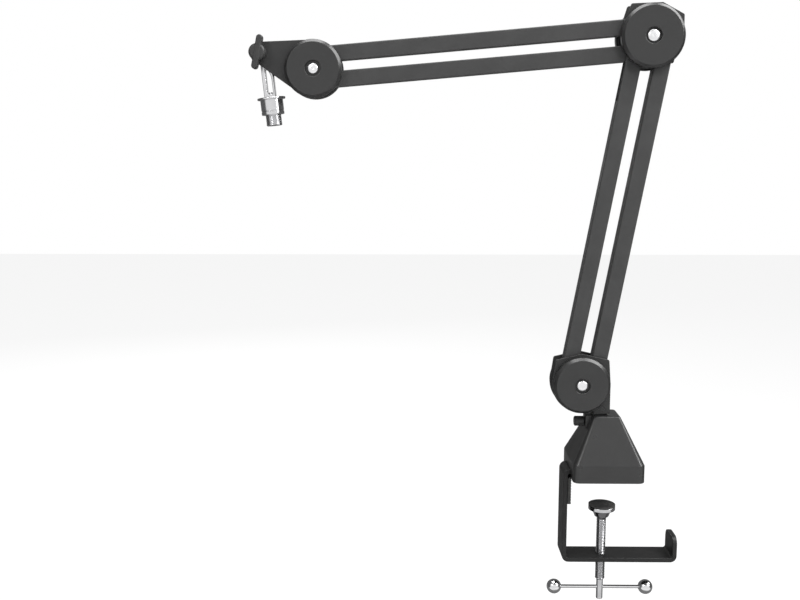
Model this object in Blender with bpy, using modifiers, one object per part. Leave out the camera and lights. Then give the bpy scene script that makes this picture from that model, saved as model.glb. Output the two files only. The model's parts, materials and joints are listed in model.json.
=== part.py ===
"""Desktop microphone stand: a two-stage parallelogram boom arm on a desk clamp.

Metres, +Z up. X runs along the arm, towards the right of the clamp jaw.
The origin is on the desk's top face, straight above the clamp screw.
The lower arm leans to +X and the upper arm reaches back to -X.
"""

import math

import bmesh
import bpy
from mathutils import Vector

# Clearances
GAP = 0.0003           # between two pieces that touch
RUN = 0.0003           # radial, between a pin and its hole
SWEEP = 0.0005         # between layers that pass each other

# Hub places, from the clamp screw's axis and the desk face
SWIVEL_X = -0.0042     # axis of the swivel post
HUB_REACH = -0.0226    # lower hub's centre, from the swivel axis
HUB_HEIGHT = 0.0990    # lower hub's centre, above the desk

# Arms, pivot to pivot, and their resting slopes
LOWER_ARM = 0.3407
LOWER_LEAN = math.radians(10.27)      # from upright, towards +X
UPPER_ARM = 0.3347
UPPER_DROP = math.radians(4.82)       # head end lower than the elbow
LOWER_SPACING = 0.0288                # between the pivots of the two lower bars
UPPER_SPACING = 0.0255                # between the pivots of the two upper bars
PAIR_DROP = 0.0014                    # upper pivots' middle, from the hub centre

# Bars are rectangular tubes
BAR_WIDTH = 0.016
LOWER_BAR_DEPTH = 0.015
LOWER_BAR_WALL = 0.002
UPPER_BAR_DEPTH = 0.010
UPPER_BAR_WALL = 0.0015
LONG_SLOT = 0.050      # side walls cut back from the elbow pivot, left bar
SHORT_SLOT = 0.020     # the same on the right bar

# Pivots
PIN_RADIUS = 0.0025
PIN_HEAD_RADIUS = 0.0044
PIN_HEAD_HEIGHT = 0.0014
BUSH_RADIUS = 0.0046

# Hub plates
PLATE = 0.0025
PLATE_ROUND = 0.0020                  # fillet at a corner
LOWER_HEEL = 0.0298                   # radius of the round end, about the hub
ELBOW_HEEL = 0.0294
LOWER_CORNERS = ((0.0285, 0.0253), (0.0, 0.0316), (-0.0262, 0.0253))
ELBOW_CORNERS = ((0.0216, -0.0272), (0.0315, 0.0080), (0.0313, 0.0212),
                 (0.0100, 0.0326), (-0.0209, 0.0314))
STEM_EDGE = 0.0304                    # right edge of the lower plates, from the hub
STEM_WIDTH = 0.0166
STEM_ROUND = 0.0010                   # fillet at the stem's foot
STEM_LIFT = 0.0003                    # plates' foot, above the post's block

# Cover discs
DISC_HEIGHT = 0.0097
DISC_WALL = 0.003
DISC_TOP = 0.0025
DISC_BEVEL = 0.0022
RECESS_RADIUS = 0.0083
RECESS_DEPTH = 0.0038
CUP_RADIUS = 0.0105    # outside of the cup round the recess
CUP_FLOOR = 0.0018
BOSS_RADIUS = 0.0062
LOWER_DISC = 0.0290    # radius
ELBOW_DISC = 0.0312
HEAD_DISC = 0.0285
LOWER_BOLT = 0.0055    # head radius
ELBOW_BOLT = 0.0060
HEAD_BOLT = 0.00525
BOLT_HEAD = 0.0030
BOLT_EDGE = 0.0008     # bevel depth round a head
BOLT_FACE = 0.72       # flat of a head, as a share of its radius
BOLT_SHANK = 0.0030

# Head plate outline, from the head hub's centre
HEAD_TOP = 0.0288
NOSE_TOP = 0.0268      # top edge at the nose
HEAD_LUG = ((0.0190, 0.0221), (0.0274, 0.0098))
KNOB_OUT = -0.0545     # wing screw's axis
KNOB_UP = 0.0157
NOSE_WRAP = 0.0080     # plate round the wing screw's axis
NOSE_SLOPE = 0.0035    # start of the top edge, behind the axis
NOSE_LOW = 0.0050      # fillets of the nose
NOSE_HIGH = 0.0040

# Yoke and thread
YOKE_TILT = math.radians(6.0)
YOKE_DEPTH = 0.0096
YOKE_EYE = 0.0082
LEG_LEFT = -0.0002     # outer sides of the two legs, from the wing screw's axis
LEG_RIGHT = 0.0114
LEG = 0.0040
THIN_LEG = 0.0022
ADAPTER_SHIFT = 0.0006 # adapter's axis, from the middle of the legs
YOKE_DROP = 0.0437
YOKE_FOOT = 0.0030
SHOULDER = 0.0120      # radius of the arched leg's outer side
SHOULDER_DROP = 0.0190
WINDOW_TOP = 0.0165
WINDOW_RISE = 0.0110
FLANGE_RADIUS = 0.0141
FLANGE = 0.0020
COLLAR_RADIUS = 0.0114
COLLAR = 0.0150
STUD_RADIUS = 0.00794
STUD = 0.0110
STUD_EDGE = 0.0010
RIVET_RADIUS = 0.0015
RIVET_HEAD_RADIUS = 0.0021
RIVET_HEAD = 0.0016

# Wing screw
WING_BODY = 0.0083
WING_BODY_LENGTH = 0.0125
WING_REACH = 0.0168
WING_WIDTH = 0.0062
WING_LENGTH = 0.0105
WING_TILT = math.radians(7.0)
WING_SHIFTS = (0.0012, -0.0008)       # upper and lower wing, sideways
WING_PROUD = 0.0006    # wings past the body's end
WING_EDGE = 0.0012
WING_SHANK = 0.0030
WASHER = 0.0015
WASHER_RADIUS = 0.0062
NUT_RADIUS = 0.0058
NUT = 0.0050

# Base housing
SKIRT_HALF = 0.0365
SKIRT_LOW = 0.0010
SKIRT_TOP = 0.0192
HOUSING_TOP = 0.0661
TOP_HALF_X = 0.0136
TOP_HALF_Y = 0.0160
HOUSING_WALL = 0.0035
HOUSING_BEVEL = 0.0024
HOUSING_CAVITY = 0.0360
BOSS_X = -0.0210
BOSS_HALF = 0.0080
BOSS_LOW = 0.0420
LOCK_HEIGHT = 0.0575

# Swivel post
POST_RADIUS = 0.0065
POST_LOW = 0.0240
BLOCK_HEIGHT = 0.0180
BLOCK_INSET = 0.0008   # block's sides, inside the plates' stem
POST_EDGE = 0.0010
POST_ROOT = 0.0040     # post's end inside the block
BUSH_WALL = 0.0022
GROOVE = 0.0010
GROOVE_HALF = 0.0035

# Lock screw
LOCK_HEAD = 0.0052
LOCK_HEAD_LENGTH = 0.0082
LOCK_EDGE = 0.0008
LOCK_SHANK = 0.0025
LOCK_STANDOFF = 0.0024

# Clamp bracket
STRAP = 0.0046
STRAP_HALF = 0.0165
STRAP_BEND = 0.0070
STRAP_CLEAR = 0.0070   # strap's outer face, left of the housing's skirt
STRAP_LEFT = -SKIRT_HALF - STRAP_CLEAR
STRAP_TOP = 0.0096
JAW_LOW = -0.0908
JAW_END = 0.0769
LIP_TOP = -0.0640
LIP_CORNER = 0.0085
STRAP_END = 0.0290
HOUSING_SCREW = 0.0210
COLUMN_RADIUS = 0.0050
SCREW_RADIUS = 0.0022
SCREW_HEAD = 0.0042
SCREW_HEAD_HEIGHT = 0.0024
SCREW_DEPTH = 0.0140

# Pads
EDGE_PAD = 0.0034
EDGE_PAD_LENGTH = 0.0270
EDGE_PAD_TOP = -0.0008
PAD_INSET = 0.0006

# Clamp screw, resting on a 32 mm desk top
DESK = 0.0320
THREAD_RADIUS = 0.0050
THREAD_LOW = -0.1145
SHANK_RADIUS = 0.0035
SCREW_LOW = -0.1377
SCREW_EDGE = 0.0006
THREAD_RUNOUT = 0.0012
BALL_NECK = 0.0034
BALL_TIP = 0.0048
TIP_EDGE = 0.0010
PAD_RADIUS = 0.0140
PAD_PLATE = 0.0040
PAD_DEPTH = 0.0140
PAD_HUB = 0.0090
PAD_TAPER = 0.0020
SOCKET_LIP = 0.0022    # thickness of the lip that holds the ball tip
PAD_FACE = 0.0020
TOMMY_HEIGHT = -0.1246
TOMMY_RADIUS = 0.0018
TOMMY_HALF = 0.0487
TOMMY_BALL = 0.0078
BALL_GRIP = 0.0050

# Springs inside the bars
SPRING_TURNS = 12
SPRING_STEPS = 8
LOWER_SPRING_RADIUS = 0.0036
UPPER_SPRING_RADIUS = 0.0022
SPRING_WIRE = 0.0007
SPRING_START = 0.045
SPRING_END = 0.235
SPRING_TAIL = 0.008
ANCHOR_RADIUS = 0.0014

# Facets
ROUND = 36
MEDIUM = 24
SMALL = 12
CORNER = 4

# Layers through the depth, each a distance from the middle plane
LOWER_HALF = LOWER_BAR_DEPTH / 2
LOWER_INNER = LOWER_HALF - LOWER_BAR_WALL
UPPER_HALF = UPPER_BAR_DEPTH / 2
UPPER_INNER = UPPER_HALF - UPPER_BAR_WALL
WIDE_PLATE = LOWER_HALF + SWEEP
NARROW_PLATE = UPPER_HALF + GAP

# Places worked out from the sizes above
LOWER_HUB = Vector((SWIVEL_X + HUB_REACH, 0, HUB_HEIGHT))
ELBOW_PIVOT_DROP = PAIR_DROP + UPPER_SPACING / 2
PAD_TOP = -DESK
BLOCK_LOW = HOUSING_TOP + GAP
PLATE_LOW = BLOCK_LOW + STEM_LIFT
STEM_RIVET = (STEM_EDGE - STEM_WIDTH / 2, BLOCK_LOW + BLOCK_HEIGHT / 3 - HUB_HEIGHT)

PAINT = ((0.045, 0.045, 0.047), 0.55, 0.0)
MOULDED = ((0.035, 0.035, 0.037), 0.6, 0.0)
CHROME = ((0.78, 0.78, 0.80), 0.12, 1.0)
STEEL = ((0.45, 0.45, 0.47), 0.35, 1.0)
RUBBER = ((0.02, 0.02, 0.02), 0.9, 0.0)
NYLON = ((0.75, 0.73, 0.68), 0.5, 0.0)


def clear_scene():
    """Remove whatever the scene holds."""
    for item in list(bpy.data.objects):
        bpy.data.objects.remove(item, do_unlink=True)


def new_collection(name):
    """A collection of its own, linked to the scene."""
    group = bpy.data.collections.new(name)
    bpy.context.scene.collection.children.link(group)
    return group


def make_material(name, finish):
    """A plain material from a colour, a roughness and a metallic value."""
    colour, roughness, metallic = finish
    material = bpy.data.materials.new(name)
    material.use_nodes = True
    shader = material.node_tree.nodes["Principled BSDF"]
    shader.inputs["Base Color"].default_value = (*colour, 1)
    shader.inputs["Roughness"].default_value = roughness
    shader.inputs["Metallic"].default_value = metallic
    return material


clear_scene()
PARTS = new_collection("microphone_stand")
CUTTERS = new_collection("cutters")


def add_piece(name, mesh, finish, parent=None, location=(0, 0, 0), turn=(0, 0, 0)):
    """Place a mesh as one named sub-part with its own material."""
    piece = bpy.data.objects.new(name, mesh)
    PARTS.objects.link(piece)
    mesh.materials.append(make_material(name, finish))
    mesh.shade_smooth()
    mesh.set_sharp_from_angle(angle=math.radians(35))
    piece.parent = parent
    piece.location = location
    piece.rotation_euler = turn
    return piece


def add_cutter(name, mesh, parent=None, location=(0, 0, 0), turn=(0, 0, 0)):
    """Place a mesh that only cuts or joins other pieces."""
    cutter = bpy.data.objects.new(name, mesh)
    CUTTERS.objects.link(cutter)
    cutter.hide_render = True
    cutter.display_type = "WIRE"
    cutter.parent = parent
    cutter.location = location
    cutter.rotation_euler = turn
    return cutter


def combine(piece, other, operation="DIFFERENCE"):
    """Cut a piece with another object, or join the two."""
    modifier = piece.modifiers.new(operation.title(), "BOOLEAN")
    modifier.operation = operation
    modifier.solver = "EXACT"
    modifier.object = other


def pivot(name, place, parent=None, turn=0.0):
    """An empty on a joint's axis, which carries the pieces of one moving body."""
    empty = bpy.data.objects.new(name, None)
    PARTS.objects.link(empty)
    empty.parent = parent
    empty.location = place
    empty.rotation_euler = (0, turn, 0)
    return empty


def arc(centre, radius, start, end, steps):
    """Points along an arc, angles in degrees, anticlockwise when end is larger."""
    points = []
    for step in range(steps + 1):
        angle = math.radians(start + (end - start) * step / steps)
        points.append((centre[0] + radius * math.cos(angle),
                       centre[1] + radius * math.sin(angle)))
    return points


def circle(centre, radius, steps):
    """A closed ring of points."""
    return arc(centre, radius, 0, 360, steps)[:-1]


def rounded(corners):
    """A closed outline from (x, z, fillet radius) corners."""
    points = []
    count = len(corners)
    for index, (x, z, radius) in enumerate(corners):
        here = Vector((x, z))
        if radius == 0:
            points.append((x, z))
            continue
        back = Vector(corners[index - 1][:2]) - here
        ahead = Vector(corners[(index + 1) % count][:2]) - here
        half = back.angle(ahead) / 2
        reach = radius / math.tan(half)
        inward = (back.normalized() + ahead.normalized()).normalized()
        centre = here + inward * radius / math.sin(half)
        first = here + back.normalized() * reach - centre
        last = here + ahead.normalized() * reach - centre
        sweep = first.angle_signed(last)
        for step in range(CORNER + 1):
            angle = -sweep * step / CORNER
            cosine, sine = math.cos(angle), math.sin(angle)
            points.append((centre.x + first.x * cosine - first.y * sine,
                           centre.y + first.x * sine + first.y * cosine))
    return points


def box_mesh(name, low, high):
    """A box between two corners."""
    mesh = bpy.data.meshes.new(name)
    work = bmesh.new()
    bmesh.ops.create_cube(work, size=1)
    size = [high[axis] - low[axis] for axis in range(3)]
    middle = [(high[axis] + low[axis]) / 2 for axis in range(3)]
    bmesh.ops.scale(work, vec=size, verts=work.verts)
    bmesh.ops.translate(work, vec=middle, verts=work.verts)
    work.to_mesh(mesh)
    work.free()
    return mesh


def rod_mesh(name, radius, low, high, steps=SMALL):
    """A cylinder along local Z."""
    mesh = bpy.data.meshes.new(name)
    work = bmesh.new()
    bmesh.ops.create_cone(work, cap_ends=True, segments=steps, radius1=radius,
                          radius2=radius, depth=high - low)
    bmesh.ops.translate(work, vec=(0, 0, (low + high) / 2), verts=work.verts)
    work.to_mesh(mesh)
    work.free()
    return mesh


def frozen_mesh(source, name):
    """The evaluated mesh of a scratch object, welded, with the object removed."""
    graph = bpy.context.evaluated_depsgraph_get()
    mesh = bpy.data.meshes.new_from_object(source.evaluated_get(graph))
    mesh.name = name
    bpy.data.objects.remove(source, do_unlink=True)
    work = bmesh.new()
    work.from_mesh(mesh)
    bmesh.ops.remove_doubles(work, verts=work.verts, dist=0.000005)
    work.to_mesh(mesh)
    work.free()
    return mesh


def sheet_mesh(name, loops, low, high):
    """A flat outline with holes in the XZ plane, from depth low to high along Y."""
    curve = bpy.data.curves.new(name, "CURVE")
    curve.dimensions = "2D"
    curve.fill_mode = "BOTH"
    curve.extrude = (high - low) / 2
    for loop in loops:
        spline = curve.splines.new("POLY")
        spline.points.add(len(loop) - 1)
        for point, (x, z) in zip(spline.points, loop):
            point.co = (x, z, 0, 1)
        spline.use_cyclic_u = True
    source = bpy.data.objects.new(name, curve)
    PARTS.objects.link(source)
    mesh = frozen_mesh(source, name)
    for vertex in mesh.vertices:
        x, z, depth = vertex.co
        vertex.co = (x, (low + high) / 2 - depth, z)
    return mesh


def turned_mesh(name, profile, closed=False, steps=ROUND):
    """A profile of (radius, height) points, outer side running down, turned about Z."""
    mesh = bpy.data.meshes.new(name)
    work = bmesh.new()
    verts = [work.verts.new((radius, 0, height)) for radius, height in profile]
    for first, second in zip(verts, verts[1:]):
        work.edges.new((first, second))
    if closed:
        work.edges.new((verts[-1], verts[0]))
    work.to_mesh(mesh)
    work.free()
    source = bpy.data.objects.new(name, mesh)
    PARTS.objects.link(source)
    screw = source.modifiers.new("Turn", "SCREW")
    screw.steps = steps
    screw.render_steps = steps
    screw.use_merge_vertices = True
    screw.merge_threshold = 0.00001
    return frozen_mesh(source, name)


# Local Z points to the front, -Y, after this turn, and to the rear after the other
TO_FRONT = math.pi / 2
TO_REAR = -math.pi / 2


def add_pin(name, parent, hub, place, face):
    """A rivet through two plates at (x, z) from the hub, with a head on each outer face."""
    top = face + PIN_HEAD_HEIGHT + GAP
    head = PIN_HEAD_RADIUS
    under = face + GAP
    profile = [(0, top), (head, top), (head, under), (PIN_RADIUS, under),
               (PIN_RADIUS, -under), (head, -under), (head, -top), (0, -top)]
    mesh = turned_mesh(name, profile, steps=SMALL)
    add_piece(name, mesh, STEEL, parent, hub + Vector((place[0], 0, place[1])), (TO_FRONT, 0, 0))


def stub_mesh(name, low, face):
    """A headed stub along local Z, from depth low out past a plate's outer face."""
    top = face + PIN_HEAD_HEIGHT + GAP
    profile = [(0, top), (PIN_HEAD_RADIUS, top), (PIN_HEAD_RADIUS, face + GAP),
               (PIN_RADIUS, face + GAP), (PIN_RADIUS, low), (0, low)]
    return turned_mesh(name, profile, steps=SMALL)


def bush_mesh(name, inner, outer, half):
    """A plain sleeve along local Z."""
    profile = [(outer, half), (outer, -half), (inner, -half), (inner, half)]
    return turned_mesh(name, profile, closed=True, steps=SMALL)


def disc_mesh(name, radius, base):
    """A cover disc whose rim starts at height base, hollow behind, recessed for its bolt."""
    top = base + DISC_HEIGHT
    ceiling = top - DISC_TOP
    floor = top - RECESS_DEPTH
    inside = radius - DISC_WALL
    hole = BOLT_SHANK + RUN
    cup = floor - CUP_FLOOR
    profile = [(RECESS_RADIUS, top), (radius - DISC_BEVEL, top), (radius, top - DISC_BEVEL),
               (radius, base), (inside, base), (inside, ceiling), (CUP_RADIUS, ceiling),
               (CUP_RADIUS, cup), (BOSS_RADIUS, cup), (BOSS_RADIUS, base), (hole, base),
               (hole, floor), (RECESS_RADIUS, floor)]
    return turned_mesh(name, profile, closed=True)


def disc_bolt_mesh(name, head, base, low):
    """The bolt in a disc's recess, its shank reaching inwards to depth low."""
    floor = base + DISC_HEIGHT - RECESS_DEPTH + GAP
    top = floor + BOLT_HEAD
    profile = [(0, top), (BOLT_FACE * head, top), (head, top - BOLT_EDGE), (head, floor),
               (BOLT_SHANK, floor), (BOLT_SHANK, low), (0, low)]
    return turned_mesh(name, profile, steps=MEDIUM)


def add_hub_covers(label, parent, place, radius, bolt, plate_inner):
    """Front and rear discs of one hub, and the bolt in each."""
    base = plate_inner + PLATE + GAP
    for side, turn in (("front", TO_FRONT), ("rear", TO_REAR)):
        mesh = disc_mesh(label + "_disc_" + side, radius, base)
        add_piece(label + "_disc_" + side, mesh, MOULDED, parent, place, (turn, 0, 0))
        screw = disc_bolt_mesh(label + "_bolt_" + side, bolt, base, plate_inner)
        add_piece(label + "_bolt_" + side, screw, CHROME, parent, place, (turn, 0, 0))


def add_plates(label, parent, place, loops, inner):
    """The front and rear plates of one hub, alike."""
    front = sheet_mesh(label + "_plate_front", loops, -inner - PLATE, -inner)
    rear = sheet_mesh(label + "_plate_rear", loops, inner, inner + PLATE)
    add_piece(label + "_plate_front", front, PAINT, parent, place)
    add_piece(label + "_plate_rear", rear, PAINT, parent, place)


def bar_mesh(name, length, depth, near_hole, far_hole):
    """A solid bar along +X with round ends about its two pivot holes."""
    half = BAR_WIDTH / 2
    outline = arc((0, 0), half, 90, 270, SMALL) + arc((length, 0), half, -90, 90, SMALL)
    holes = [circle((0, 0), near_hole, SMALL), circle((length, 0), far_hole, SMALL)]
    return sheet_mesh(name, [outline] + holes, -depth / 2, depth / 2)


def add_bar(name, parent, length, depth, wall, holes, slot=0.0):
    """A tube bar; slot is how far its side walls are cut back from the far pivot."""
    bar = add_piece(name, bar_mesh(name, length, depth, *holes), PAINT, parent)
    half_width = BAR_WIDTH / 2 - wall
    half_depth = depth / 2 - wall
    bore = box_mesh(name + "_bore", (-BAR_WIDTH, -half_depth, -half_width),
                    (length + BAR_WIDTH, half_depth, half_width))
    combine(bar, add_cutter(name + "_bore", bore, parent))
    for label, low, high in (("near", -BAR_WIDTH, 0), ("far", length - slot, length + BAR_WIDTH)):
        mouth = box_mesh(name + "_mouth_" + label, (low, -half_depth, -BAR_WIDTH),
                         (high, half_depth, BAR_WIDTH))
        combine(bar, add_cutter(name + "_mouth_" + label, mouth, parent))
    return bar


def add_spring(name, parent, radius, half_depth):
    """A drawn tension spring inside a bar, hooked to an anchor pin across it."""
    points = [(SPRING_START - SPRING_TAIL, 0, 0), (SPRING_START - SPRING_TAIL / 4, 0, 0)]
    count = SPRING_TURNS * SPRING_STEPS
    for step in range(count + 1):
        angle = 2 * math.pi * step / SPRING_STEPS
        along = SPRING_START + (SPRING_END - SPRING_START) * step / count
        points.append((along, radius * math.sin(angle), radius * math.cos(angle)))
    points.append((SPRING_END + SPRING_TAIL / 4, 0, 0))
    points.append((SPRING_END + SPRING_TAIL, 0, 0))
    curve = bpy.data.curves.new(name, "CURVE")
    curve.dimensions = "3D"
    curve.bevel_depth = SPRING_WIRE
    curve.bevel_resolution = 0
    curve.use_fill_caps = True
    spline = curve.splines.new("POLY")
    spline.points.add(len(points) - 1)
    for point, place in zip(spline.points, points):
        point.co = (*place, 1)
    source = bpy.data.objects.new(name, curve)
    PARTS.objects.link(source)
    add_piece(name, frozen_mesh(source, name), STEEL, parent)
    pin = rod_mesh(name + "_anchor", ANCHOR_RADIUS, -half_depth + GAP, half_depth - GAP)
    reach = SPRING_END + SPRING_TAIL + GAP + ANCHOR_RADIUS
    add_piece(name + "_anchor", pin, STEEL, parent, (reach, 0, 0), (TO_FRONT, 0, 0))


def lower_plate_loops():
    """The lower hub's plate: two raised corners, a round heel and a stem down the right."""
    stem_low = PLATE_LOW - HUB_HEIGHT
    stem_left = STEM_EDGE - STEM_WIDTH
    heel = arc((0, 0), LOWER_HEEL, -182, -75, SMALL)
    raised = [(x, z, PLATE_ROUND) for x, z in LOWER_CORNERS]
    outline = rounded([(STEM_EDGE, stem_low, STEM_ROUND), (STEM_EDGE, 0, 0), *raised, (*heel[0], 0)])
    outline += heel[1:] + [(stem_left, heel[-1][1]), (stem_left, stem_low)]
    half = LOWER_SPACING / 2
    pins = [circle((side * half, 0), PIN_RADIUS + RUN, SMALL) for side in (-1, 1)]
    rivet = circle(STEM_RIVET, PIN_RADIUS + RUN, SMALL)
    return [outline, circle((0, 0), BOLT_SHANK + RUN, SMALL), rivet] + pins


def elbow_plate_loops():
    """The elbow's plate: four raised corners and a round heel, one pivot above three in a row."""
    half = LOWER_SPACING / 2
    low = -ELBOW_PIVOT_DROP
    places = [(-half, low), (half, low), (0, low), (0, low + UPPER_SPACING)]
    holes = [circle(place, PIN_RADIUS + RUN, SMALL) for place in places]
    heel = arc((0, 0), ELBOW_HEEL, -188, -62, SMALL)
    corners = [(x, z, PLATE_ROUND) for x, z in ELBOW_CORNERS]
    outline = rounded(corners + [(*heel[0], 0)]) + heel[1:]
    return [outline, circle((0, 0), BOLT_SHANK + RUN, SMALL)] + holes


def head_plate_loops():
    """The head's plate: round about the disc, tapering to a blunt nose at the knob."""
    heel = arc((0, 0), HEAD_DISC, -15, -112, SMALL)
    left = KNOB_OUT - NOSE_WRAP
    nose = rounded([(*heel[-1], 0), (left, KNOB_UP - 0.7 * NOSE_WRAP, NOSE_LOW),
                    (left, KNOB_UP + 0.8 * NOSE_WRAP, NOSE_HIGH),
                    (KNOB_OUT + NOSE_SLOPE, NOSE_TOP, STEM_ROUND), (0, HEAD_TOP, 0)])
    outline = list(HEAD_LUG) + heel + nose[1:] + arc((0, 0), HEAD_TOP, 88, 52, 8)
    places = [(0, PAIR_DROP + side * UPPER_SPACING / 2) for side in (-1, 1)]
    holes = [circle(place, PIN_RADIUS + RUN, SMALL) for place in places]
    knob = circle((KNOB_OUT, KNOB_UP), WING_SHANK + RUN, SMALL)
    return [outline, circle((0, 0), BOLT_SHANK + RUN, SMALL), knob] + holes


def pyramid_mesh(name, half, low, high, top):
    """A square skirt up to SKIRT_TOP, then a pyramid up to a smaller top."""
    mesh = box_mesh(name, (-half, -half, low), (half, half, high))
    work = bmesh.new()
    work.from_mesh(mesh)
    everything = list(work.verts) + list(work.edges) + list(work.faces)
    bmesh.ops.bisect_plane(work, geom=everything, plane_co=(0, 0, SKIRT_TOP), plane_no=(0, 0, 1))
    for vert in work.verts:
        if vert.co.z > SKIRT_TOP + GAP:
            vert.co.x *= top[0] / half
            vert.co.y *= top[1] / half
    work.to_mesh(mesh)
    work.free()
    return mesh


def add_housing():
    """The pyramid housing over the clamp's top flange, with the swivel bore."""
    mesh = pyramid_mesh("base_housing", SKIRT_HALF, SKIRT_LOW, HOUSING_TOP, (TOP_HALF_X, TOP_HALF_Y))
    work = bmesh.new()
    work.from_mesh(mesh)
    sloped = []
    for edge in work.edges:
        if max(vert.co.z for vert in edge.verts) > SKIRT_LOW + GAP:
            sloped.append(edge)
    bmesh.ops.bevel(work, geom=sloped, offset=HOUSING_BEVEL, segments=2, profile=0.5,
                    affect="EDGES", clamp_overlap=True)
    work.to_mesh(mesh)
    work.free()
    housing = add_piece("base_housing", mesh, MOULDED)

    boss = box_mesh("lock_boss", (BOSS_X, -BOSS_HALF, BOSS_LOW),
                    (SWIVEL_X, BOSS_HALF, HOUSING_TOP - GAP))
    combine(housing, add_cutter("lock_boss", boss), "UNION")

    inner = SKIRT_HALF - HOUSING_WALL
    rise = (HOUSING_CAVITY - SKIRT_TOP) / (HOUSING_TOP - SKIRT_TOP)
    top_x = inner - (SKIRT_HALF - TOP_HALF_X) * rise
    top_y = inner - (SKIRT_HALF - TOP_HALF_Y) * rise
    cavity = pyramid_mesh("cavity", inner, SKIRT_LOW - STRAP, HOUSING_CAVITY, (top_x, top_y))
    combine(housing, add_cutter("cavity", cavity))

    column = rod_mesh("column", COLUMN_RADIUS, STRAP_TOP + GAP, HOUSING_CAVITY + GAP)
    combine(housing, add_cutter("column", column, location=(HOUSING_SCREW, 0, 0)), "UNION")
    hole = rod_mesh("screw_hole", SCREW_RADIUS + RUN, SKIRT_LOW, STRAP_TOP + SCREW_DEPTH + 2 * GAP)
    combine(housing, add_cutter("screw_hole", hole, location=(HOUSING_SCREW, 0, 0)))

    bore_radius = POST_RADIUS + RUN + BUSH_WALL + GAP
    bore = rod_mesh("swivel_bore", bore_radius, SKIRT_TOP, HOUSING_TOP + STRAP, MEDIUM)
    combine(housing, add_cutter("swivel_bore", bore, location=(SWIVEL_X, 0, 0)))
    slot = box_mesh("strap_slot", (-2 * SKIRT_HALF, -STRAP_HALF - GAP, STRAP_TOP - STRAP - GAP),
                    (0, STRAP_HALF + GAP, STRAP_TOP + GAP))
    combine(housing, add_cutter("strap_slot", slot))
    lock = rod_mesh("lock_hole", LOCK_SHANK + RUN, 0, 2 * TOP_HALF_X)
    start = (BOSS_X - STRAP, 0, LOCK_HEIGHT)
    combine(housing, add_cutter("lock_hole", lock, location=start, turn=(0, math.pi / 2, 0)))


def add_base():
    """Everything that stays with the desk clamp."""
    add_housing()
    inner_radius = POST_RADIUS + RUN
    outer_radius = inner_radius + BUSH_WALL
    bush_low = HOUSING_CAVITY + GAP
    bush_top = HOUSING_TOP - GAP
    profile = [(outer_radius, bush_top), (outer_radius, bush_low),
               (inner_radius, bush_low), (inner_radius, bush_top)]
    bush = turned_mesh("swivel_bush", profile, closed=True, steps=MEDIUM)
    sleeve = add_piece("swivel_bush", bush, NYLON, location=(SWIVEL_X, 0, 0))
    lock = rod_mesh("lock_hole_bush", LOCK_SHANK + RUN, 0, HOUSING_TOP)
    start = (SWIVEL_X, 0, LOCK_HEIGHT)
    combine(sleeve, add_cutter("lock_hole_bush", lock, location=start, turn=(0, -math.pi / 2, 0)))

    bend = STRAP_BEND
    inside = STRAP_BEND - STRAP
    web = STRAP_LEFT + STRAP
    jaw_top = JAW_LOW + STRAP
    outline = rounded([(STRAP_END, STRAP_TOP, 0), (STRAP_LEFT, STRAP_TOP, bend),
                       (STRAP_LEFT, JAW_LOW, bend), (JAW_END, JAW_LOW, bend), (JAW_END, LIP_TOP, 0),
                       (JAW_END - STRAP, LIP_TOP, 0), (JAW_END - STRAP, jaw_top, inside),
                       (web, jaw_top, inside), (web, STRAP_TOP - STRAP, inside),
                       (STRAP_END, STRAP_TOP - STRAP, 0)])
    strap = sheet_mesh("c_bracket", [outline], -STRAP_HALF, STRAP_HALF)
    bracket = add_piece("c_bracket", strap, PAINT)
    hole = rod_mesh("jaw_hole", THREAD_RADIUS + RUN, JAW_LOW - STRAP, JAW_LOW + 2 * STRAP, MEDIUM)
    combine(bracket, add_cutter("jaw_hole", hole))
    hole = rod_mesh("flange_hole", SCREW_RADIUS + RUN, -STRAP, STRAP_TOP + STRAP)
    combine(bracket, add_cutter("flange_hole", hole, location=(HOUSING_SCREW, 0, 0)))
    for side in (-1, 1):
        edge = side * STRAP_HALF
        centre = (edge - side * LIP_CORNER, LIP_TOP - LIP_CORNER)
        outside = edge + side * STRAP
        curve = arc(centre, LIP_CORNER, 90, 90 - side * 90, 6)
        curve += [(outside, centre[1]), (outside, LIP_TOP + STRAP), (centre[0], LIP_TOP + STRAP)]
        corner = sheet_mesh("lip_corner", [curve], -STRAP, 2 * STRAP)
        name = "lip_corner_%d" % (side + 1)
        cutter = add_cutter(name, corner, location=(JAW_END, 0, 0), turn=(0, 0, math.pi / 2))
        combine(bracket, cutter)

    low = STRAP_TOP - STRAP - GAP
    inset = SKIRT_HALF - HOUSING_WALL - PAD_INSET
    pad = add_piece("base_pad", box_mesh("base_pad", (-inset, -inset, 0), (inset, inset, low)), RUBBER)
    hole = rod_mesh("pad_hole", SCREW_HEAD + GAP, -STRAP, 2 * STRAP)
    combine(pad, add_cutter("pad_hole", hole, location=(HOUSING_SCREW, 0, 0)))

    left = web + GAP
    edge_pad = box_mesh("edge_pad", (left, -STRAP_HALF + PAD_INSET, EDGE_PAD_TOP - EDGE_PAD_LENGTH),
                        (left + EDGE_PAD, STRAP_HALF - PAD_INSET, EDGE_PAD_TOP))
    add_piece("edge_pad", edge_pad, RUBBER)

    head_top = STRAP_TOP - STRAP - GAP
    head_low = head_top - SCREW_HEAD_HEIGHT
    tip = STRAP_TOP + SCREW_DEPTH
    profile = [(0, tip), (SCREW_RADIUS, tip), (SCREW_RADIUS, head_top), (SCREW_HEAD, head_top),
               (SCREW_HEAD, head_low), (0, head_low)]
    screw = turned_mesh("housing_screw", profile, steps=SMALL)
    add_piece("housing_screw", screw, STEEL, location=(HOUSING_SCREW, 0, 0))


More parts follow.
